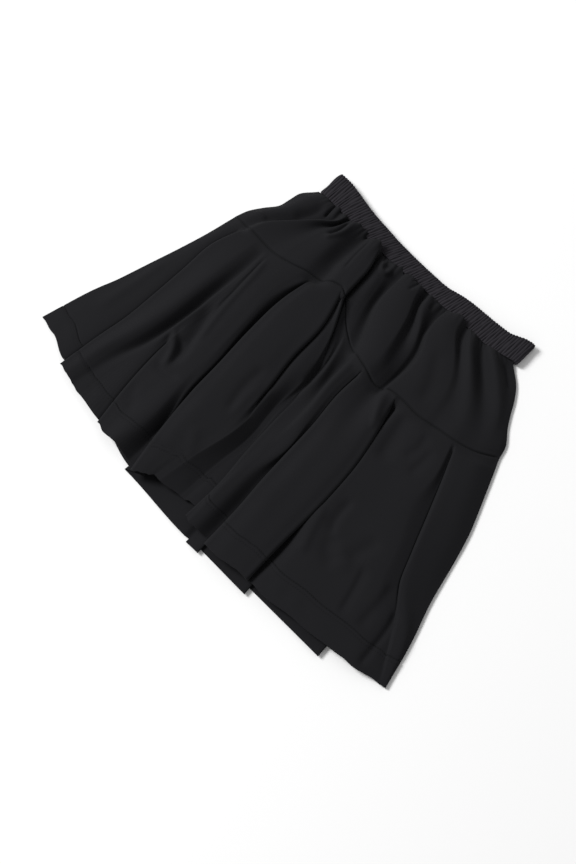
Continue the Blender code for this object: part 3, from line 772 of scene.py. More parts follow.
band = {
    "left": -162.5,
    "right": 140.5,
    "height": 9.6,  # of the flattened ring
    "wall": 2.2,
    "ribPitch": 3.4,
    "ribHeight": 1.15,
    "narrowest": 1.5,  # least width of a rib
    "uneven": (0.16, 0.12),  # how much the ribs' widths vary, in two waves
    "usual": 0.82,  # mean height of a rib on its way down, as a share
    "crown": 0.9,  # how far the upper and lower edges turn in
    "notch": (0.5, 0.3),  # how far the ribs reach above the dips, and the dips end below the edge
    "wander": (0.5, 0.7),  # of a rib in its middle, and near the yoke
    "flat": 1.5,  # the underside lies on the floor up to this height
    "ribLength": 22,  # steps down a rib, and across one in front and behind
    "ribSteps": (10, 4),
    "top": (
        (-163, 192.8), (-150, 192.3), (-136, 189.8), (-121, 186.3), (-105, 182.8), (-88, 180.3),
        (-71, 178.3), (-58, 176.5), (-41, 175.3), (-24, 174.3), (-1, 173.7), (28, 174.3), (41, 177.3),
        (54, 179.3), (76, 180.3), (100, 181.3), (116, 183.3), (124, 186.8), (131, 189.8), (139, 191.8),
    ),
    "bottom": (
        (-163, 158), (-140, 157), (-110, 154.5), (-80, 153), (-50, 151.6), (-10, 152), (30, 152.4),
        (60, 153), (90, 152.6), (105, 152.8), (122, 156), (139, 160),
    ),
    # how far a rib leans over the height of the band
    "lean": ((-163, 0), (-145, 1), (-125, 8), (-60, 11), (-30, 8), (30, 6), (70, 3), (139, 0)),
}


# The flattened ring of the band seen along Y: x and z at a distance round it, inset from its outside
def ringPlace(distance, inset):
    radius = band["height"] / 2
    run = band["right"] - band["left"]
    turn = math.pi * radius
    if distance < run:
        x, angle = band["left"] + distance, math.pi / 2
    elif distance < run + turn:
        x, angle = band["right"], math.pi / 2 - (distance - run) / radius
    elif distance < 2 * run + turn:
        x, angle = band["right"] - (distance - run - turn), -math.pi / 2
    else:
        x, angle = band["left"], -math.pi / 2 - (distance - 2 * run - turn) / radius
    reach = radius - inset
    return x + math.cos(angle) * reach, radius + math.sin(angle) * reach


# Stops round the ring: distance, how far the rib stands there and the number of the rib
def ribStops():
    run = band["right"] - band["left"]
    slow, quick = band["uneven"]
    whole = 2 * (run + math.pi * band["height"] / 2)
    stops, distance, number = [], 0.0, 0
    while distance < whole - band["narrowest"]:
        width = band["ribPitch"] * (1 + slow * math.sin(number * 2.3) + quick * math.sin(number * 5.1 + 1))
        width = min(width, whole - distance)
        if whole - distance - width < band["narrowest"]:
            width = whole - distance
        onFront = distance < run + math.pi * band["height"]
        steps = band["ribSteps"][0 if onFront else 1]
        for step in range(steps):
            share = step / steps
            stops.append((distance + width * share, 1 - abs(2 * share - 1) ** 2.4, number))
        distance += width
        number += 1
    return stops


# How far a front rib leans and wanders aside at v, its share of the way down
def ribShift(x, v, number):
    inMiddle, nearYoke = band["wander"]
    lean = float(np.interp(x, *zip(*band["lean"]))) * (0.5 - v)
    wander = inMiddle * math.sin(number * 2.7 + v * 6.0) * v * (1 - v) * 4
    wander += nearYoke * math.sin(number * 1.9) * max(v - 0.55, 0.0) ** 2 * 5
    return lean + wander


# The band's outside from top to bottom, and its plain inside back up
def bandSurface():
    stops = ribStops()
    radius = band["height"] / 2
    reach, dip = band["notch"]
    outer, inner = [], []
    for v in evenLevels(band["ribLength"]):
        crown = band["crown"] * (2 * abs(v - 0.5)) ** 8
        line = []
        for distance, rib, number in stops:
            wave = math.sin(number * 1.7 + v * (5 + 2 * math.sin(number * 3.3)))
            lively = band["usual"] + (1 - band["usual"]) * wave
            height = band["ribHeight"] * rib * lively
            x, z = ringPlace(distance, band["ribHeight"] - height + crown)
            if z > radius:
                x += ribShift(x, v, number)
            x = min(max(x, band["left"] - radius), band["right"] + radius)
            top = edgeY(x, band["top"]) + reach * rib - dip
            bottom = edgeY(x, band["bottom"])
            line.append((x, top + (bottom - top) * v, z if z > band["flat"] else 0.0))
        outer.append(line)
    for v in (1.0, 0.5, 0.0):
        line = []
        for distance, _, _ in stops:
            x, z = ringPlace(distance, band["wall"] + band["ribHeight"])
            top, bottom = edgeY(x, band["top"]), edgeY(x, band["bottom"])
            line.append((x, top + (bottom - top) * v, z))
        inner.append(line)
    return np.array(outer + inner)


def makeBand():
    grid = bandSurface()
    rows, around = grid.shape[:2]
    points = inScene(grid.reshape(-1, 3))
    cells = np.arange(rows * around).reshape(rows, around)
    after = np.roll(cells, -1, axis=1)
    below, belowAfter = np.roll(cells, -1, axis=0), np.roll(after, -1, axis=0)
    faces = np.stack([cells, below, belowAfter, after], axis=2).reshape(-1, 4).tolist()
    steps = np.linalg.norm(np.roll(grid, -1, axis=1) - grid, axis=2)
    along = np.concatenate([np.zeros((rows, 1)), np.cumsum(steps[:, :-1], axis=1)], axis=1)
    along = np.broadcast_to(along[rows // 2], along.shape)
    places = np.stack([along, grid[..., 1]], axis=2).reshape(-1, 2) * 0.001
    return meshPiece("waistbandRibs", points, faces, elastic, places)


# The levels run from the waist down, and below the crotch the inner edge leaves the centre line.
shorts = {
    "levels": (152.0, 101.5, 51.0, 0.5, -50.0),
    "halfWidth": (118.0, 133.0, 144.0, 150.0, 156.0),
    "inner": (0.0, 0.0, 0.0, 2.5, 14.0),
    "middle": -10.0,
    "backZ": 2.35,
    "frontZ": 3.87,
    "rows": 28,
    "columns": 22,
    "thickness": 1.1,
    "wave": 0.1,
}


def shortsGrid(side, height):
    lines = []
    for t in evenLevels(shorts["rows"]):
        y, half, inner = (betweenLevels(shorts[key], t) for key in ("levels", "halfWidth", "inner"))
        near = max(inner, 0.0) + seam["gap"] / 2
        line = []
        for share in evenLevels(shorts["columns"]):
            x = shorts["middle"] + side * (near + (half - near) * share)
            wave = shorts["wave"] * math.sin(x / 11.0 + y / 31.0) * math.sin(share * math.pi)
            line.append((x, y if t > 0 else min(y, yokeTopY(x)), height + wave))
        lines.append(line if side > 0 else line[::-1])
    return np.array(lines)


# In the tables of the front, x and z are at seven levels. The heights of its sides are the least.
sideZ = (cloth["frontZ"],) * 7
yokeRows = (
    Crease("left side", (-169, -182.5, -186, -189, -200, -209.5, -214.5), (4.2, *sideZ[1:])),
    Crease("left slope", (-155, -164, -171, -179, -190, -199, -205), (6.4, 9.6, 10.6, 9.8, 8.2, 7.0, 5.8)),
    Pleat(
        "left ridge", 1, (-123, -127, -143, -157, -171.5, -184, -190), (0, 0, 0, 0, 0, 0, 0),
        (6.0, 5.2, 4.4, 4.4, 4.8, 6.0, 7.0), (8.4, 14.5, 17.0, 17.4, 16.8, 15.0, 12.5),
    ),
    Crease(
        "left hollow", (-116, -120, -131, -138, -145, -151, -155), (5.6, 6.8, 8.8, 11.0, 12.2, 12.0, 11.6),
    ),
    Crease(
        "left fold", (-111, -116, -123, -127, -130, -132, -133), (9.6, 14.8, 15.2, 15.0, 14.8, 14.6, 14.2),
    ),
    Crease(
        "left bulge", (-101, -105, -107, -107, -107, -107, -106), (10.4, 16.0, 16.6, 16.4, 16.0, 15.4, 14.6),
    ),
    Crease("strip hollow", (-84, -86, -86.5, -87, -87, -85, -84), (6.4, 7.2, 6.8, 6.6, 6.6, 7.2, 8.4)),
    Crease("strip edge", (-78, -78, -78, -77.5, -77, -75, -73), (11.0, 16.6, 17.6, 17.8, 17.8, 18.0, 18.0)),
    Crease("strip crest", (-69, -68, -66, -65, -64, -62, -60), (11.4, 18.4, 19.8, 20.0, 20.0, 19.6, 19.2)),
    Pleat(
        crossingFold, -1, (-61, -57.5, -53.5, -51, -50, -49, -48), (2, 5, 7, 8, 9, 9, 9),
        (5.9, 5.8, 5.8, 5.8, 6.0, 6.2, 6.6), (9.8, 16.8, 18.6, 19.2, 19.2, 19.0, 19.0),
        lip=(0.5, 3.6, 5.2, 5.8, 5.8, 5.4, 4.6), gap=(4.0, 4.0, 4.0, 4.2, 4.4, 4.5, 4.5),
    ),
    Crease("deep valley", (-51, -45, -40, -38, -36.5, -34, -31), (6.0, 9.4, 11.8, 12.8, 12.4, 11.0, 8.6)),
    Crease("low ridge", (-41, -37, -32, -29, -25, -20, -14), (8.6, 10.2, 10.4, 10.0, 9.4, 8.6, 7.8)),
    Crease("dark valley", (-23, -22, -21, -17.5, -10.5, -2.5, 4.5), (5.9, 5.2, 4.8, 4.6, 4.6, 5.4, 6.6)),
    Crease("middle ridge", (-18, -17.5, -16, -12, -4, 5, 12.5), (9.4, 14.8, 16.2, 16.8, 17.2, 16.8, 15.6)),
    Crease("middle bulge", (2, 9, 18, 24.5, 29, 32, 31.5), (10.4, 15.4, 17.0, 17.8, 19.2, 20.2, 17.8)),
    Crease("middle valley", (14, 16.5, 26, 33, 41, 47, 48), (5.8, 6.0, 7.4, 8.4, 11.0, 12.2, 11.6)),
    Crease("small ridge", (20, 25, 38, 48, 53, 55, 55), (10.0, 14.6, 15.2, 14.0, 8.6, 7.6, 8.6)),
    Crease("small valley", (42, 42.5, 46.5, 56.5, 60.5, 61, 60.5), (5.8, 5.8, 6.6, 8.8, 5.0, 4.4, 6.8)),
    Crease("right ridge", (48.5, 47.5, 51.5, 62, 67, 66.5, 65), (10.4, 15.4, 16.8, 17.2, 17.2, 16.6, 15.2)),
    Crease("right bulge", (61, 72, 89, 104, 112, 116, 118), (10.6, 16.2, 17.0, 16.4, 15.8, 15.0, 14.0)),
    Crease("third valley", (74, 82, 99, 114, 123, 128, 131), (5.8, 7.6, 9.6, 12.2, 13.0, 13.2, 12.8)),
    Crease("third ridge", (82, 96, 114, 131, 144, 151, 155), (10.4, 15.2, 16.4, 16.2, 15.6, 14.6, 13.8)),
    Crease("fourth valley", (101, 114, 132, 148, 162, 172, 176), (5.8, 5.4, 5.2, 6.0, 8.6, 10.0, 10.6)),
    Crease("fourth ridge", (110, 132, 152, 168, 178, 186, 189), (9.8, 14.8, 14.4, 11.8, 10.0, 9.0, 8.4)),
    Crease("last valley", (126, 146.5, 163, 174.5, 184.5, 196, 200), (5.8, 5.0, 4.8, 5.2, 5.6, 5.8, 5.4)),
    Crease("right side", (139.5, 159, 171, 179.5, 189, 201, 206), (4.2, *sideZ[1:])),
)
yokeFolds = (
    Fold(((-139, 160), (-140, 148), (-139, 136)), 2.0, -3.4, 0.8, 6.0),
    Fold(((-135, 158), (-134, 148), (-131, 140)), 3.0, 2.0, 1.0, 6.0),
    Fold(((-152, 152), (-150, 138), (-156, 124), (-166, 110)), 7.0, -2.2, 0.6, 12.0),
    Fold(((-140, 132), (-154, 119), (-168, 103), (-178, 92)), 1.4, -0.8, 1.0, 12.0),
    Fold(((-112, 154), (-111, 140), (-114, 128), (-120, 119)), 3.4, -4.6, 0.6, 8.0),
    Fold(((-105, 156), (-106, 141), (-109, 130), (-119, 114)), 3.4, 2.6, 1.0, 8.0),
    Fold(((-84, 158), (-85, 150), (-87, 144)), 2.2, -3.2, 1.0, 4.0),
    Fold(((-76, 152), (-75.5, 128), (-72, 98)), 1.6, -1.6, 1.0, 12.0),
    Fold(((0, 154), (-1, 144), (-3, 134)), 2.0, -1.8, 1.0, 6.0),
    Fold(((-49, 146), (-45, 136), (-38, 134), (-34, 142)), 2.8, 2.8, 1.0, 4.0),
    Fold(((-44, 150), (-40, 142), (-38, 140)), 3.0, -2.2, 1.0, 3.0),
    Fold(((28, 152), (29, 143), (32, 135)), 2.2, -1.8, 1.0, 5.0),
    Fold(((133, 152), (146, 142), (160, 130)), 3.4, -1.6, 0.7, 8.0),
    Fold(((72, 108), (86, 86), (97, 66), (103, 42)), 8.0, -1.6, 1.2, 16.0),
    Fold(((122, 84), (140, 62), (150, 48)), 10.0, -0.8, 1.0, 14.0),
    Fold(((-204, 86), (-194, 87), (-184, 86)), 2.6, 1.6, 1.0, 6.0),
    Fold(((160, 48), (178, 53), (192, 60), (204, 70)), 1.6, -0.6, 1.0, 6.0),
)
# steps are the rows down a panel, spacing the length of cloth between two columns
yokeFront = {
    "steps": 66,  # closer together towards the band
    "lastLevels": (0.972, 0.981, 0.988, 0.994, 1.0),  # where the edge turns down into the seam
    "spacing": 1.5,
    "rise": 0.72,  # power of the way down the yoke at which heights are read
    "rows": yokeRows,
    "folds": yokeFolds,
}
print("laying the yoke")
yokeLevels = tuple(0.5 * t + 0.5 * t * t for t in evenLevels(yokeFront["steps"]))
yokeLevels = yokeLevels[:-2] + yokeFront["lastLevels"]
yokeGrid = layPanel(yokeFront, yokeLevels, yokeTopY, yokeBottomY)
yokeGrid = puffUp(layFolds(yokeGrid, yokeFront["folds"]))
yokeEdges = yokeEdgeHeights(yokeGrid, yokeFront)
yokeGrid = rollEdge(yokeGrid, fromTop=False)
yokeFrontPiece = clothPiece("yokeFrontCloth", yokeGrid, jersey)

skirtRows = (
    Crease("left side", (-214.5, -222, -232, -243, -254, -265, -276), sideZ, -182),
    Crease(
        "left rise", (-205, -214.5, -221, -229, -237, -245, -253), (5.6, 5.4, 5.4, 5.4, 5.4, 5.2, 4.8), -187,
    ),
    Pleat(
        "first pleat", 1, (-192, -205.5, -205.5, -205.5, -206.5, -211.5, -215.5), (2, 6, 10, 13, 16, 18, 20),
        (6.6, 4.0, 3.6, 3.6, 3.6, 3.6, 3.6), (12.5, 11.2, 10.4, 10.2, 10.0, 10.2, 10.4), (-200, -207), 8.0,
        (0.5, 1.8, 2.2, 2.4, 2.2, 2.0, 1.8), (2.5,) * 7,
    ),
    Crease(
        "first crest", (-170, -174, -176.5, -179.5, -186, -196, -202),
        (12.4, 14.2, 15.6, 16.0, 15.4, 13.6, 12.2), -210,
    ),
    Crease(
        "first shoulder", (-166, -167, -169, -171, -177.5, -188, -194),
        (12.0, 12.6, 13.6, 13.6, 12.8, 11.4, 11.2), -211.5,
    ),
    Crease(
        "first valley", (-156, -156, -159, -162, -168, -180, -187),
        (10.6, 7.4, 4.8, 4.4, 5.2, 8.0, 9.4), -213.5,
    ),
    Crease(
        "valley rim", (-151.5, -151, -154, -157, -161.5, -171, -176),
        (12.2, 11.6, 11.6, 11.4, 10.6, 9.2, 9.2), -216,
    ),
    Pleat(
        "second pleat", 1, (-145, -144, -145.5, -149.5, -148, -142.5, -133), (0, 0, 0, 0, 7, 10, 13),
        (12.8, 12.8, 12.4, 11.2, 6.4, 6.0, 6.0), (13.2, 13.2, 12.8, 12.0, 13.2, 13.4, 12.8),
        (-221, -224), 5.0,
        (0, 0, 0, 0.4, 3.6, 3.4, 3.2), (1.5, 1.5, 1.5, 2.0, 2.8, 2.8, 2.8),
    ),
    Crease(
        "second crest", (-120, -125, -122, -119, -120, -122, -119),
        (14.6, 15.2, 15.8, 16.0, 15.6, 15.0, 14.4), -228,
    ),
    Crease(
        "second fall", (-105, -114, -110, -106, -101, -96, -101),
        (13.6, 15.2, 15.8, 16.0, 16.4, 17.4, 17.0), -227,
    ),
    Crease(
        "second floor", (-98, -109, -105, -100, -93, -82, -79),
        (12.6, 14.6, 15.4, 15.6, 13.8, 5.2, 4.4), -228.5,
    ),
    Pleat(
        "third pleat", 1, (-88.5, -95, -93, -88, -84, -76, -65.5), (7, 10, 12, 12, 14, 18, 12),
        (8.8, 6.0, 5.2, 5.2, 4.0, 3.2, 2.8), (17.6, 19.6, 20.2, 20.0, 19.4, 18.2, 15.2), (-229, -236), 5.0,
        (3.4, 7.6, 8.6, 8.6, 9.4, 1.4, 0.8), (4.5, 10.5, 8.4, 6.2, 6.4, 4, 10),
    ),
    Crease(
        "third crest", (-80, -83, -79, -73, -66, -62, -57), (19.4, 21.6, 22.2, 22.0, 21.0, 18.8, 15.4), -231,
    ),
    Crease(
        "third middle", (-68, -62, -56, -50, -46, -46, -48),
        (19.8, 21.2, 21.6, 21.2, 20.2, 18.0, 14.4), -226,
    ),
    Pleat(
        "third pleat right", -1, (-54.5, -38.5, -35, -26.5, -22, -31, -39), (6, 8, 8, 5, 0, 0, 0),
        (10.4, 11.2, 10.4, 11.4, 18.0, 17.0, 13.2), (19.4, 20.2, 19.6, 19.0, 18.8, 17.4, 13.6),
        (-221.5, -221), 8.0,
        (2.0, 4.6, 5.4, 4.2, 0, 0, 0), (2.0, 3.4, 4.6, 3.4, 0.5, 0.5, 0.5),
    ),
    Pleat(
        crossingFold, -1, (-48, -22.5, -7.5, -7, -1, -4, -5), (9, 5, 0, 0, 0, 0, 0),
        (6.6, 9.4, 6.6, 6.6, 6.6, 6.7, 6.0), (19.0, 15.4, 13.2, 6.9, 6.9, 7.0, 6.2), (-216, -216.5), 6.0,
        (4.6, 1.0, 0, 0, 0, 0, 0), (4.5, 2.6, 0.5, 0.5, 0.5, 0.5, 0.5),
    ),
    Crease("deep valley", (-31, -11, -3.0, -1, 4.0, 3, 4), (8.8, 9.4, 5.8, 7.0, 6.8, 6.8, 6.6), -213),
    Pleat(
        "fourth pleat", 1, (-17, -4, -0.2, 3.4, 7.6, 13.2, 14), (0, 0, 1.5, 8, 13, 16, 18),
        (7.8, 7.4, 6.4, 6.2, 6.4, 6.6, 6.8), (8.8, 10.0, 9.6, 13.4, 14.6, 14.4, 13.2), (-211, -228), 5.0,
    ),
    Crease(
        "fourth hollow", (7.5, 10.4, 16.5, 18, 18, 18, 19), (6.6, 5.4, 11.0, 15.0, 15.6, 15.6, 13.8), -230,
    ),
    Crease(
        "fourth crest", (12.8, 14.4, 21, 24, 22, 22, 22), (15.6, 16.8, 16.4, 15.8, 15.8, 15.6, 14.6), -231,
    ),
    Crease(
        "fourth fall", (22, 23, 29.5, 37, 30.5, 31, 32), (15.0, 15.8, 15.8, 15.6, 14.8, 13.8, 12.8), -230,
    ),
    Pleat(
        "fifth pleat", 1, (31, 31, 37, 40.5, 44, 48.5, 51.5), (8, 9, 10, 12, 15, 18, 20),
        (8.6, 8.2, 7.4, 6.8, 5.4, 3.6, 3.0), (15.2, 16.4, 17.0, 17.8, 18.0, 17.4, 16.0), (-228, -236), 3.0,
        (4.4, 5.2, 5.0, 4.6, 3.0, 1.2, 1.0), (1.8, 2.2, 2.0, 1.7, 2.6, 2.8, 2.8),
    ),
    Crease("fifth crest", (43, 47, 56, 60, 64, 69, 72), (12.2, 15.8, 19.0, 20.0, 20.0, 19.2, 17.0), -236),
    Crease("fifth hollow", (57, 62, 70, 75, 80, 85, 88), (8.4, 14.0, 18.8, 19.4, 19.2, 18.4, 16.8), -233),
    Crease("fifth ridge", (67, 78, 88, 92, 95, 97, 99), (15.4, 17.4, 18.4, 18.8, 18.6, 17.8, 16.4), -231),
    Pleat(
        "fifth pleat right", -1, (78, 92, 102.5, 107.5, 109.3, 110, 112.5), (6, 7, 8, 10, 13, 16, 18),
        (6.4, 6.6, 7.4, 7.4, 7.0, 5.2, 7.8), (13.6, 16.2, 16.4, 16.8, 17.0, 16.6, 15.4), (-229, -231), 4.0,
        (5.6, 6.4, 7.0, 7.4, 6.8, 4.6, 2.0), (11.0, 2.2, 1.8, 1.6, 2.0, 7.0, 6.5),
    ),
    Crease(
        "side panel rise", (96, 101, 112, 118, 121, 129, 133),
        (13.0, 13.8, 14.6, 14.8, 14.2, 12.4, 10.8), -230,
    ),
    Crease(
        "side panel", (118, 126, 139, 150, 158, 170, 182), (13.8, 14.4, 14.2, 13.8, 13.2, 12.2, 10.8), -224,
    ),
    Crease(
        "side panel fall", (157, 171, 176, 197, 212, 232, 250),
        (13.6, 14.4, 13.8, 12.6, 11.8, 10.0, 8.2), -216,
    ),
    Pleat(
        "side pleat", 1, (162, 180, 197, 213.5, 231.5, 259, 288), (4, 8, 9, 8, 5, 1, 0),
        (10.8, 7.6, 5.8, 6.0, 5.6, 4.6, 2.1), (13.6, 14.4, 14.2, 13.2, 11.6, 8.0, 2.3), (-208, -207), 3.0,
        (1.0, 2.2, 2.4, 2.4, 1.8, 0.5, 0), (1.2, 1.4, 1.5, 1.4, 1.4, 1.2, 1.0),
    ),
    Crease(
        "side crest", (176, 193, 208, 222, 241, 274, 292.2), (13.2, 13.6, 13.2, 12.4, 11.2, 7.2, 2.2), -207,
    ),
    Crease(
        "side plateau", (191, 210, 228, 242, 257, 279.6, 293.2),
        (11.4, 10.4, 9.2, 7.6, 5.8, 3.2, 2.15), -206,
    ),
    Crease("right side", (206, 225, 243, 255, 267, 281, 294), sideZ, -206),
)
skirtFolds = (
    Fold(((-148, 52), (-145, 25), (-142, -5), (-138, -40), (-130, -80)), 2.4, -1.8, 0.8, 14.0),
    Fold(((-144, 50), (-141, 25), (-138, -5), (-133, -40), (-125, -80)), 4.0, 1.7, 1.0, 16.0),
    Fold(((-147, -28), (-139, -58), (-132, -82), (-126, -102), (-121, -116)), 11.0, -7.0, 0.4, 24.0),
    Fold(((-158, -84), (-150, -93), (-142, -100), (-136, -110), (-129, -128)), 3.6, 3.4, 1.0, 9.0),
    Fold(((-146, -88), (-136, -97), (-129, -108), (-124, -122)), 5.0, -2.6, 1.0, 10.0),
    Fold(((-143, -126), (-128, -132), (-104, -126)), 5.0, -1.6, 1.0, 12.0),
    Fold(((-141, -160), (-128, -176), (-112, -196)), 9.0, -1.4, 0.7, 14.0),
    Fold(((-47, -45), (-47, -80), (-38, -118)), 6.0, -1.9, 1.0, 14.0),
    Fold(((-80, -118), (-79, -160), (-72, -196)), 8.0, -1.4, 1.0, 16.0),
    Fold(((-33, -60), (-36, -90), (-33, -120)), 5.0, 1.0, 1.0, 14.0),
    Fold(((-54, -150), (-40, -166), (-30, -186)), 7.0, 1.2, 1.0, 12.0),
    Fold(((-24, -56), (-23, -75), (-21, -98)), 3.0, 1.4, 1.0, 10.0),
    Fold(((-9, 8), (-8, -8), (-5, -32)), 4.0, -3.4, 1.0, 12.0),
    Fold(((84, 28), (86, 18), (88, 8), (90, -4)), 3.4, -2.4, 0.8, 6.0),
    Fold(((63, 28), (68, 15), (76, 2), (87, -16)), 3.0, 2.4, 1.9, 8.0),
    Fold(((64, 25), (71, 30), (84, 30)), 3.0, 1.6, 1.0, 6.0),
    Fold(((128, -85), (131, -115), (141, -136)), 7.0, -2.2, 0.7, 12.0),
    Fold(((113, -112), (121, -144), (132, -172)), 7.0, 1.8, 0.8, 12.0),
    Fold(((138, -126), (150, -148), (170, -156)), 8.0, -1.8, 1.4, 14.0),
    Fold(((150, -128), (163, -140), (184, -146)), 9.0, 1.0, 0.8, 14.0),
    Fold(((188, -126), (197, -152), (207, -190)), 3.2, -1.6, 2.2, 16.0),
    Fold(((183, -96), (176, -118), (172, -142)), 8.0, -1.6, 1.0, 14.0),
    Fold(((224, -118), (228, -150), (230, -186)), 5.0, -1.7, 1.8, 14.0),
    Fold(((245, -138), (252, -160), (256, -190), (258, -212)), 3.0, -2.2, 1.4, 10.0),
    Fold(((101, 32), (107, 5), (118, -40)), 9.0, -3.2, 1.3, 18.0),
    Fold(((132, 28), (138, 6), (131, -14)), 5.0, -1.3, 1.4, 10.0),
    Fold(((150, 18), (152, -6), (150, -26)), 5.0, -1.3, 1.4, 10.0),
    Fold(((44, -40), (50, -90), (56, -150)), 9.0, -0.8, 1.0, 30.0),
    Fold(((-228, -20), (-233, -80), (-241, -140)), 7.0, 1.2, 1.0, 30.0),
)
skirtFront = {
    "firstLevels": (0.0, 0.002, 0.0045, 0.008, 0.013),
    "steps": 82,
    "between": (0.02, 0.85),  # first level of the steps, and how far they reach down
    "spacing": 2.5,
    "rows": skirtRows,
    "folds": skirtFolds,
}
print("laying the skirt")
hemLevels = tuple(1 - distance / hem["rowLength"] for distance in hem["distances"])
start, reach = skirtFront["between"]
skirtLevels = tuple(start + reach * t for t in evenLevels(skirtFront["steps"]))
skirtLevels = skirtFront["firstLevels"] + skirtLevels + hemLevels
skirtGrid = layPanel(skirtFront, skirtLevels, skirtTopY, sewnTo=yokeEdges)
skirtGrid = layFolds(skirtGrid, skirtFront["folds"])
skirtGrid[..., 2] = np.maximum(skirtGrid[..., 2], cloth["frontZ"])
skirtGrid = rollEdge(turnHem(skirtGrid), fromTop=True)
skirtFrontPiece = clothPiece("skirtFrontCloth", skirtGrid, jersey)

# The back is flat, apart from the ends of its pleats that show below the front
backLap = (0.0, 0.0, 0.0, 6.0, 13.0)
backLow = (cloth["backZ"],) * 4
backHigh = (*backLow[:2], 1.2, 4.0, 4.0)
yokeBack = {
    "steps": 12,
    "spacing": 8.0,
    "rows": (
        Crease("left side", (-169, -182.5, -186, -189, -200, -209.5, -214.5), backLow),
        Crease("middle", (-15, -13, -11, -9, -7, -5, -4), backLow),
        Crease("right side", (139.5, 159, 171, 179.5, 189, 201, 206), backLow),
    ),
}
skirtBack = {
    "steps": 44,
    "reach": 0.87,  # of the steps, down to the hem's own rows
    "spacing": 4.0,
    "rows": (
        Crease("left side", (-214, -232, -254, -276), backLow, -182),
        Pleat("back one", -1, (-118, -132, -146, -158), backLap, backLow, backHigh, (-209, -206)),
        Pleat("back two", -1, (-60, -62, -64, -66), backLap, backLow, backHigh, (-238, -233)),
        Pleat(
            "back three", -1, (2, 10, 20, 29), (0, 0, 0, 0), backLow, (*backLow[:2], 1.8, 2.6), (-242, -243),
        ),
        Crease("back tongue", (8, 17, 26, 33), backLow, -246.5),
        Pleat("back four", -1, (38, 42, 46, 51), backLap, backLow, backHigh, (-241, -246.5)),
        Pleat("back five", -1, (82, 95, 108, 119), backLap, backLow, backHigh, (-233, -242)),
        Pleat("back six", -1, (126, 168, 211, 221), backLap, backLow, backHigh, (-218, -233)),
        Crease("right side", (206, 243, 267, 294), backLow, -206),
    ),
}
print("laying the back")
halfGap = seam["gap"] / 2
yokeBackLevels = evenLevels(yokeBack["steps"])
yokeBackGrid = layPanel(yokeBack, yokeBackLevels, yokeTopY, lambda x: backSeamY(x) + halfGap)
yokeBackPiece = clothPiece("yokeBackCloth", yokeBackGrid, jersey, restsFlat=True)
backLevels = tuple(skirtBack["reach"] * t for t in evenLevels(skirtBack["steps"])) + hemLevels
skirtBackGrid = layPanel(skirtBack, backLevels, lambda x: backSeamY(x) - halfGap)
skirtBackPiece = clothPiece("skirtBackCloth", skirtBackGrid, jersey, restsFlat=True)

print("laying the shorts")
shortsPieces = {}
for name, side in (("Left", -1), ("Right", 1)):
    for face, height in (("Front", shorts["frontZ"]), ("Back", shorts["backZ"])):
        grid = shortsGrid(side, height)
        piece = clothPiece("shorts" + face + name, grid, shortsJersey, shorts["thickness"])
        shortsPieces[face.lower() + "_" + name.lower()] = piece

print("knitting the waistband")
waistband = makeBand()

print("sewing")
hemStitches = {}
for name, grid, start in (("front", skirtGrid, 0.0), ("back", skirtBackGrid, 1.0)):
    hemLines = [lineOnGrid(grid, distance) for distance in hem["rows"]]
    hemStitches[name] = stitchPiece(name + "HemStitches", hemLines, start)
seamLine = lineOnGrid(yokeGrid[::-1], seam["stitches"], fromTop=True)
seamStitches = stitchPiece("yokeSeamStitches", [seamLine])

# What each piece stands for, the size of its cut in metres and its area in square metres
frontShorts = ["shortsFrontLeft", "shortsFrontRight"]
cuts = {
    "yoke_front": (yokeFrontPiece, (0.50, 0.14), 0.048, "gathered", frontShorts, [seamStitches]),
    "skirt_front": (
        skirtFrontPiece, (0.86, 0.32), 0.196, "folded", ["skirtBackCloth", *frontShorts],
        [hemStitches["front"]],
    ),
    "yoke_back": (yokeBackPiece, (0.42, 0.12), 0.033, "laid", [], []),
    "skirt_back": (skirtBackPiece, (0.76, 0.32), 0.156, "folded", [], [hemStitches["back"]]),
}
for node, (piece, flat, area, held, restsOn, sewnOn) in cuts.items():
    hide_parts(node)

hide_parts("waistband")

for name, piece in shortsPieces.items():
    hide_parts("shorts_" + name)

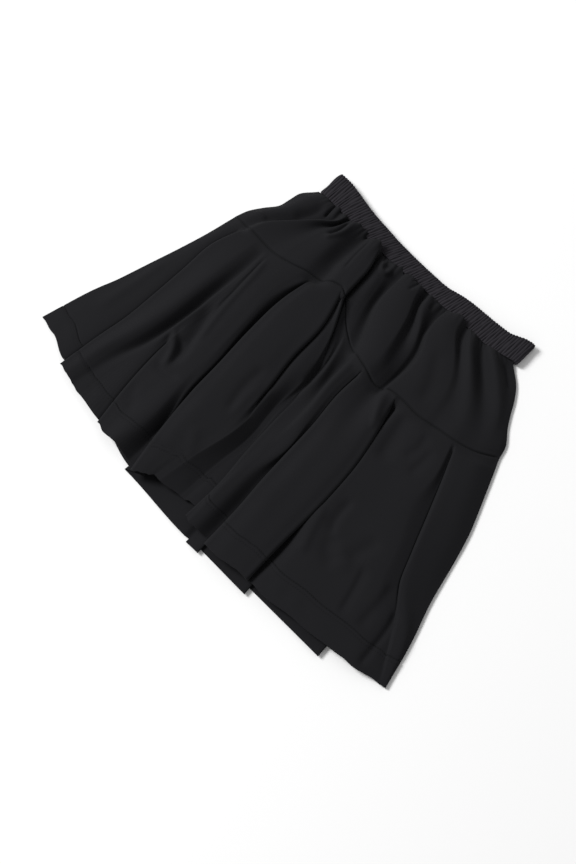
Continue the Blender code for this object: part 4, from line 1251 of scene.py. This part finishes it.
studio = {
    "azimuth": 45.5,
    "elevation": 70.0,
    "distance": 1.557,
    "target": (0.011, -0.0524, 0.0),
    "lens": 38.89,
    "sensor": 24,
    "floorColour": (0.9, 0.9, 0.9),
    "floorRoughness": 0.9,
    "floorSize": 8,
    "floorDrop": 0.0004,  # below the cloth, so that the two never share a plane
    "lightPlace": (-3.9, 2.34, 3.12),  # to the right and up in the camera's view, then straight up
    "lightSize": 2.34,
    "lightPower": 388,
    "sky": 0.45,
}
print("setting up the studio")


# Puts a camera or a lamp at a place and turns it to look one way
def setUp(name, data, place, way):
    made = bpy.data.objects.new(name, data)
    bpy.context.scene.collection.objects.link(made)
    made.location = place
    made.rotation_mode = "QUATERNION"
    made.rotation_quaternion = way.to_track_quat("-Z", "Y")
    return made


turn, tilt = math.radians(studio["azimuth"]), math.radians(studio["elevation"])
viewRight = Vector((math.cos(turn), math.sin(turn), 0))
towardsCamera = Vector((math.sin(turn) * math.cos(tilt), -math.cos(turn) * math.cos(tilt), math.sin(tilt)))
viewUp = towardsCamera.cross(viewRight)
cameraData = bpy.data.cameras.new("camera")
cameraData.sensor_fit = "VERTICAL"
cameraData.sensor_height = studio["sensor"]
cameraData.lens = studio["lens"]
cameraPlace = Vector(studio["target"]) + towardsCamera * studio["distance"]
bpy.context.scene.camera = setUp("camera", cameraData, cameraPlace, -towardsCamera)

bpy.ops.object.select_all(action="DESELECT")
bpy.ops.mesh.primitive_plane_add(size=studio["floorSize"], location=(0, 0, -studio["floorDrop"]))
floor = bpy.context.object
floor.name = "floor"
floor.data.materials.append(plainMaterial("paleFloor", studio["floorColour"], studio["floorRoughness"]))

across, up, above = studio["lightPlace"]
lampPlace = viewRight * across + viewUp * up + Vector((0, 0, above))
lampData = bpy.data.lights.new("keyLight", "AREA")
lampData.shape = "DISK"
lampData.size = studio["lightSize"]
lampData.energy = studio["lightPower"]
setUp("keyLight", lampData, lampPlace, -lampPlace)

world = bpy.data.worlds.new("studio")
bpy.context.scene.world = world
world.use_nodes = True
setInputs(world.node_tree.nodes["Background"], {"Color": (1, 1, 1, 1), "Strength": studio["sky"]})
bpy.context.scene.view_settings.view_transform = "Standard"
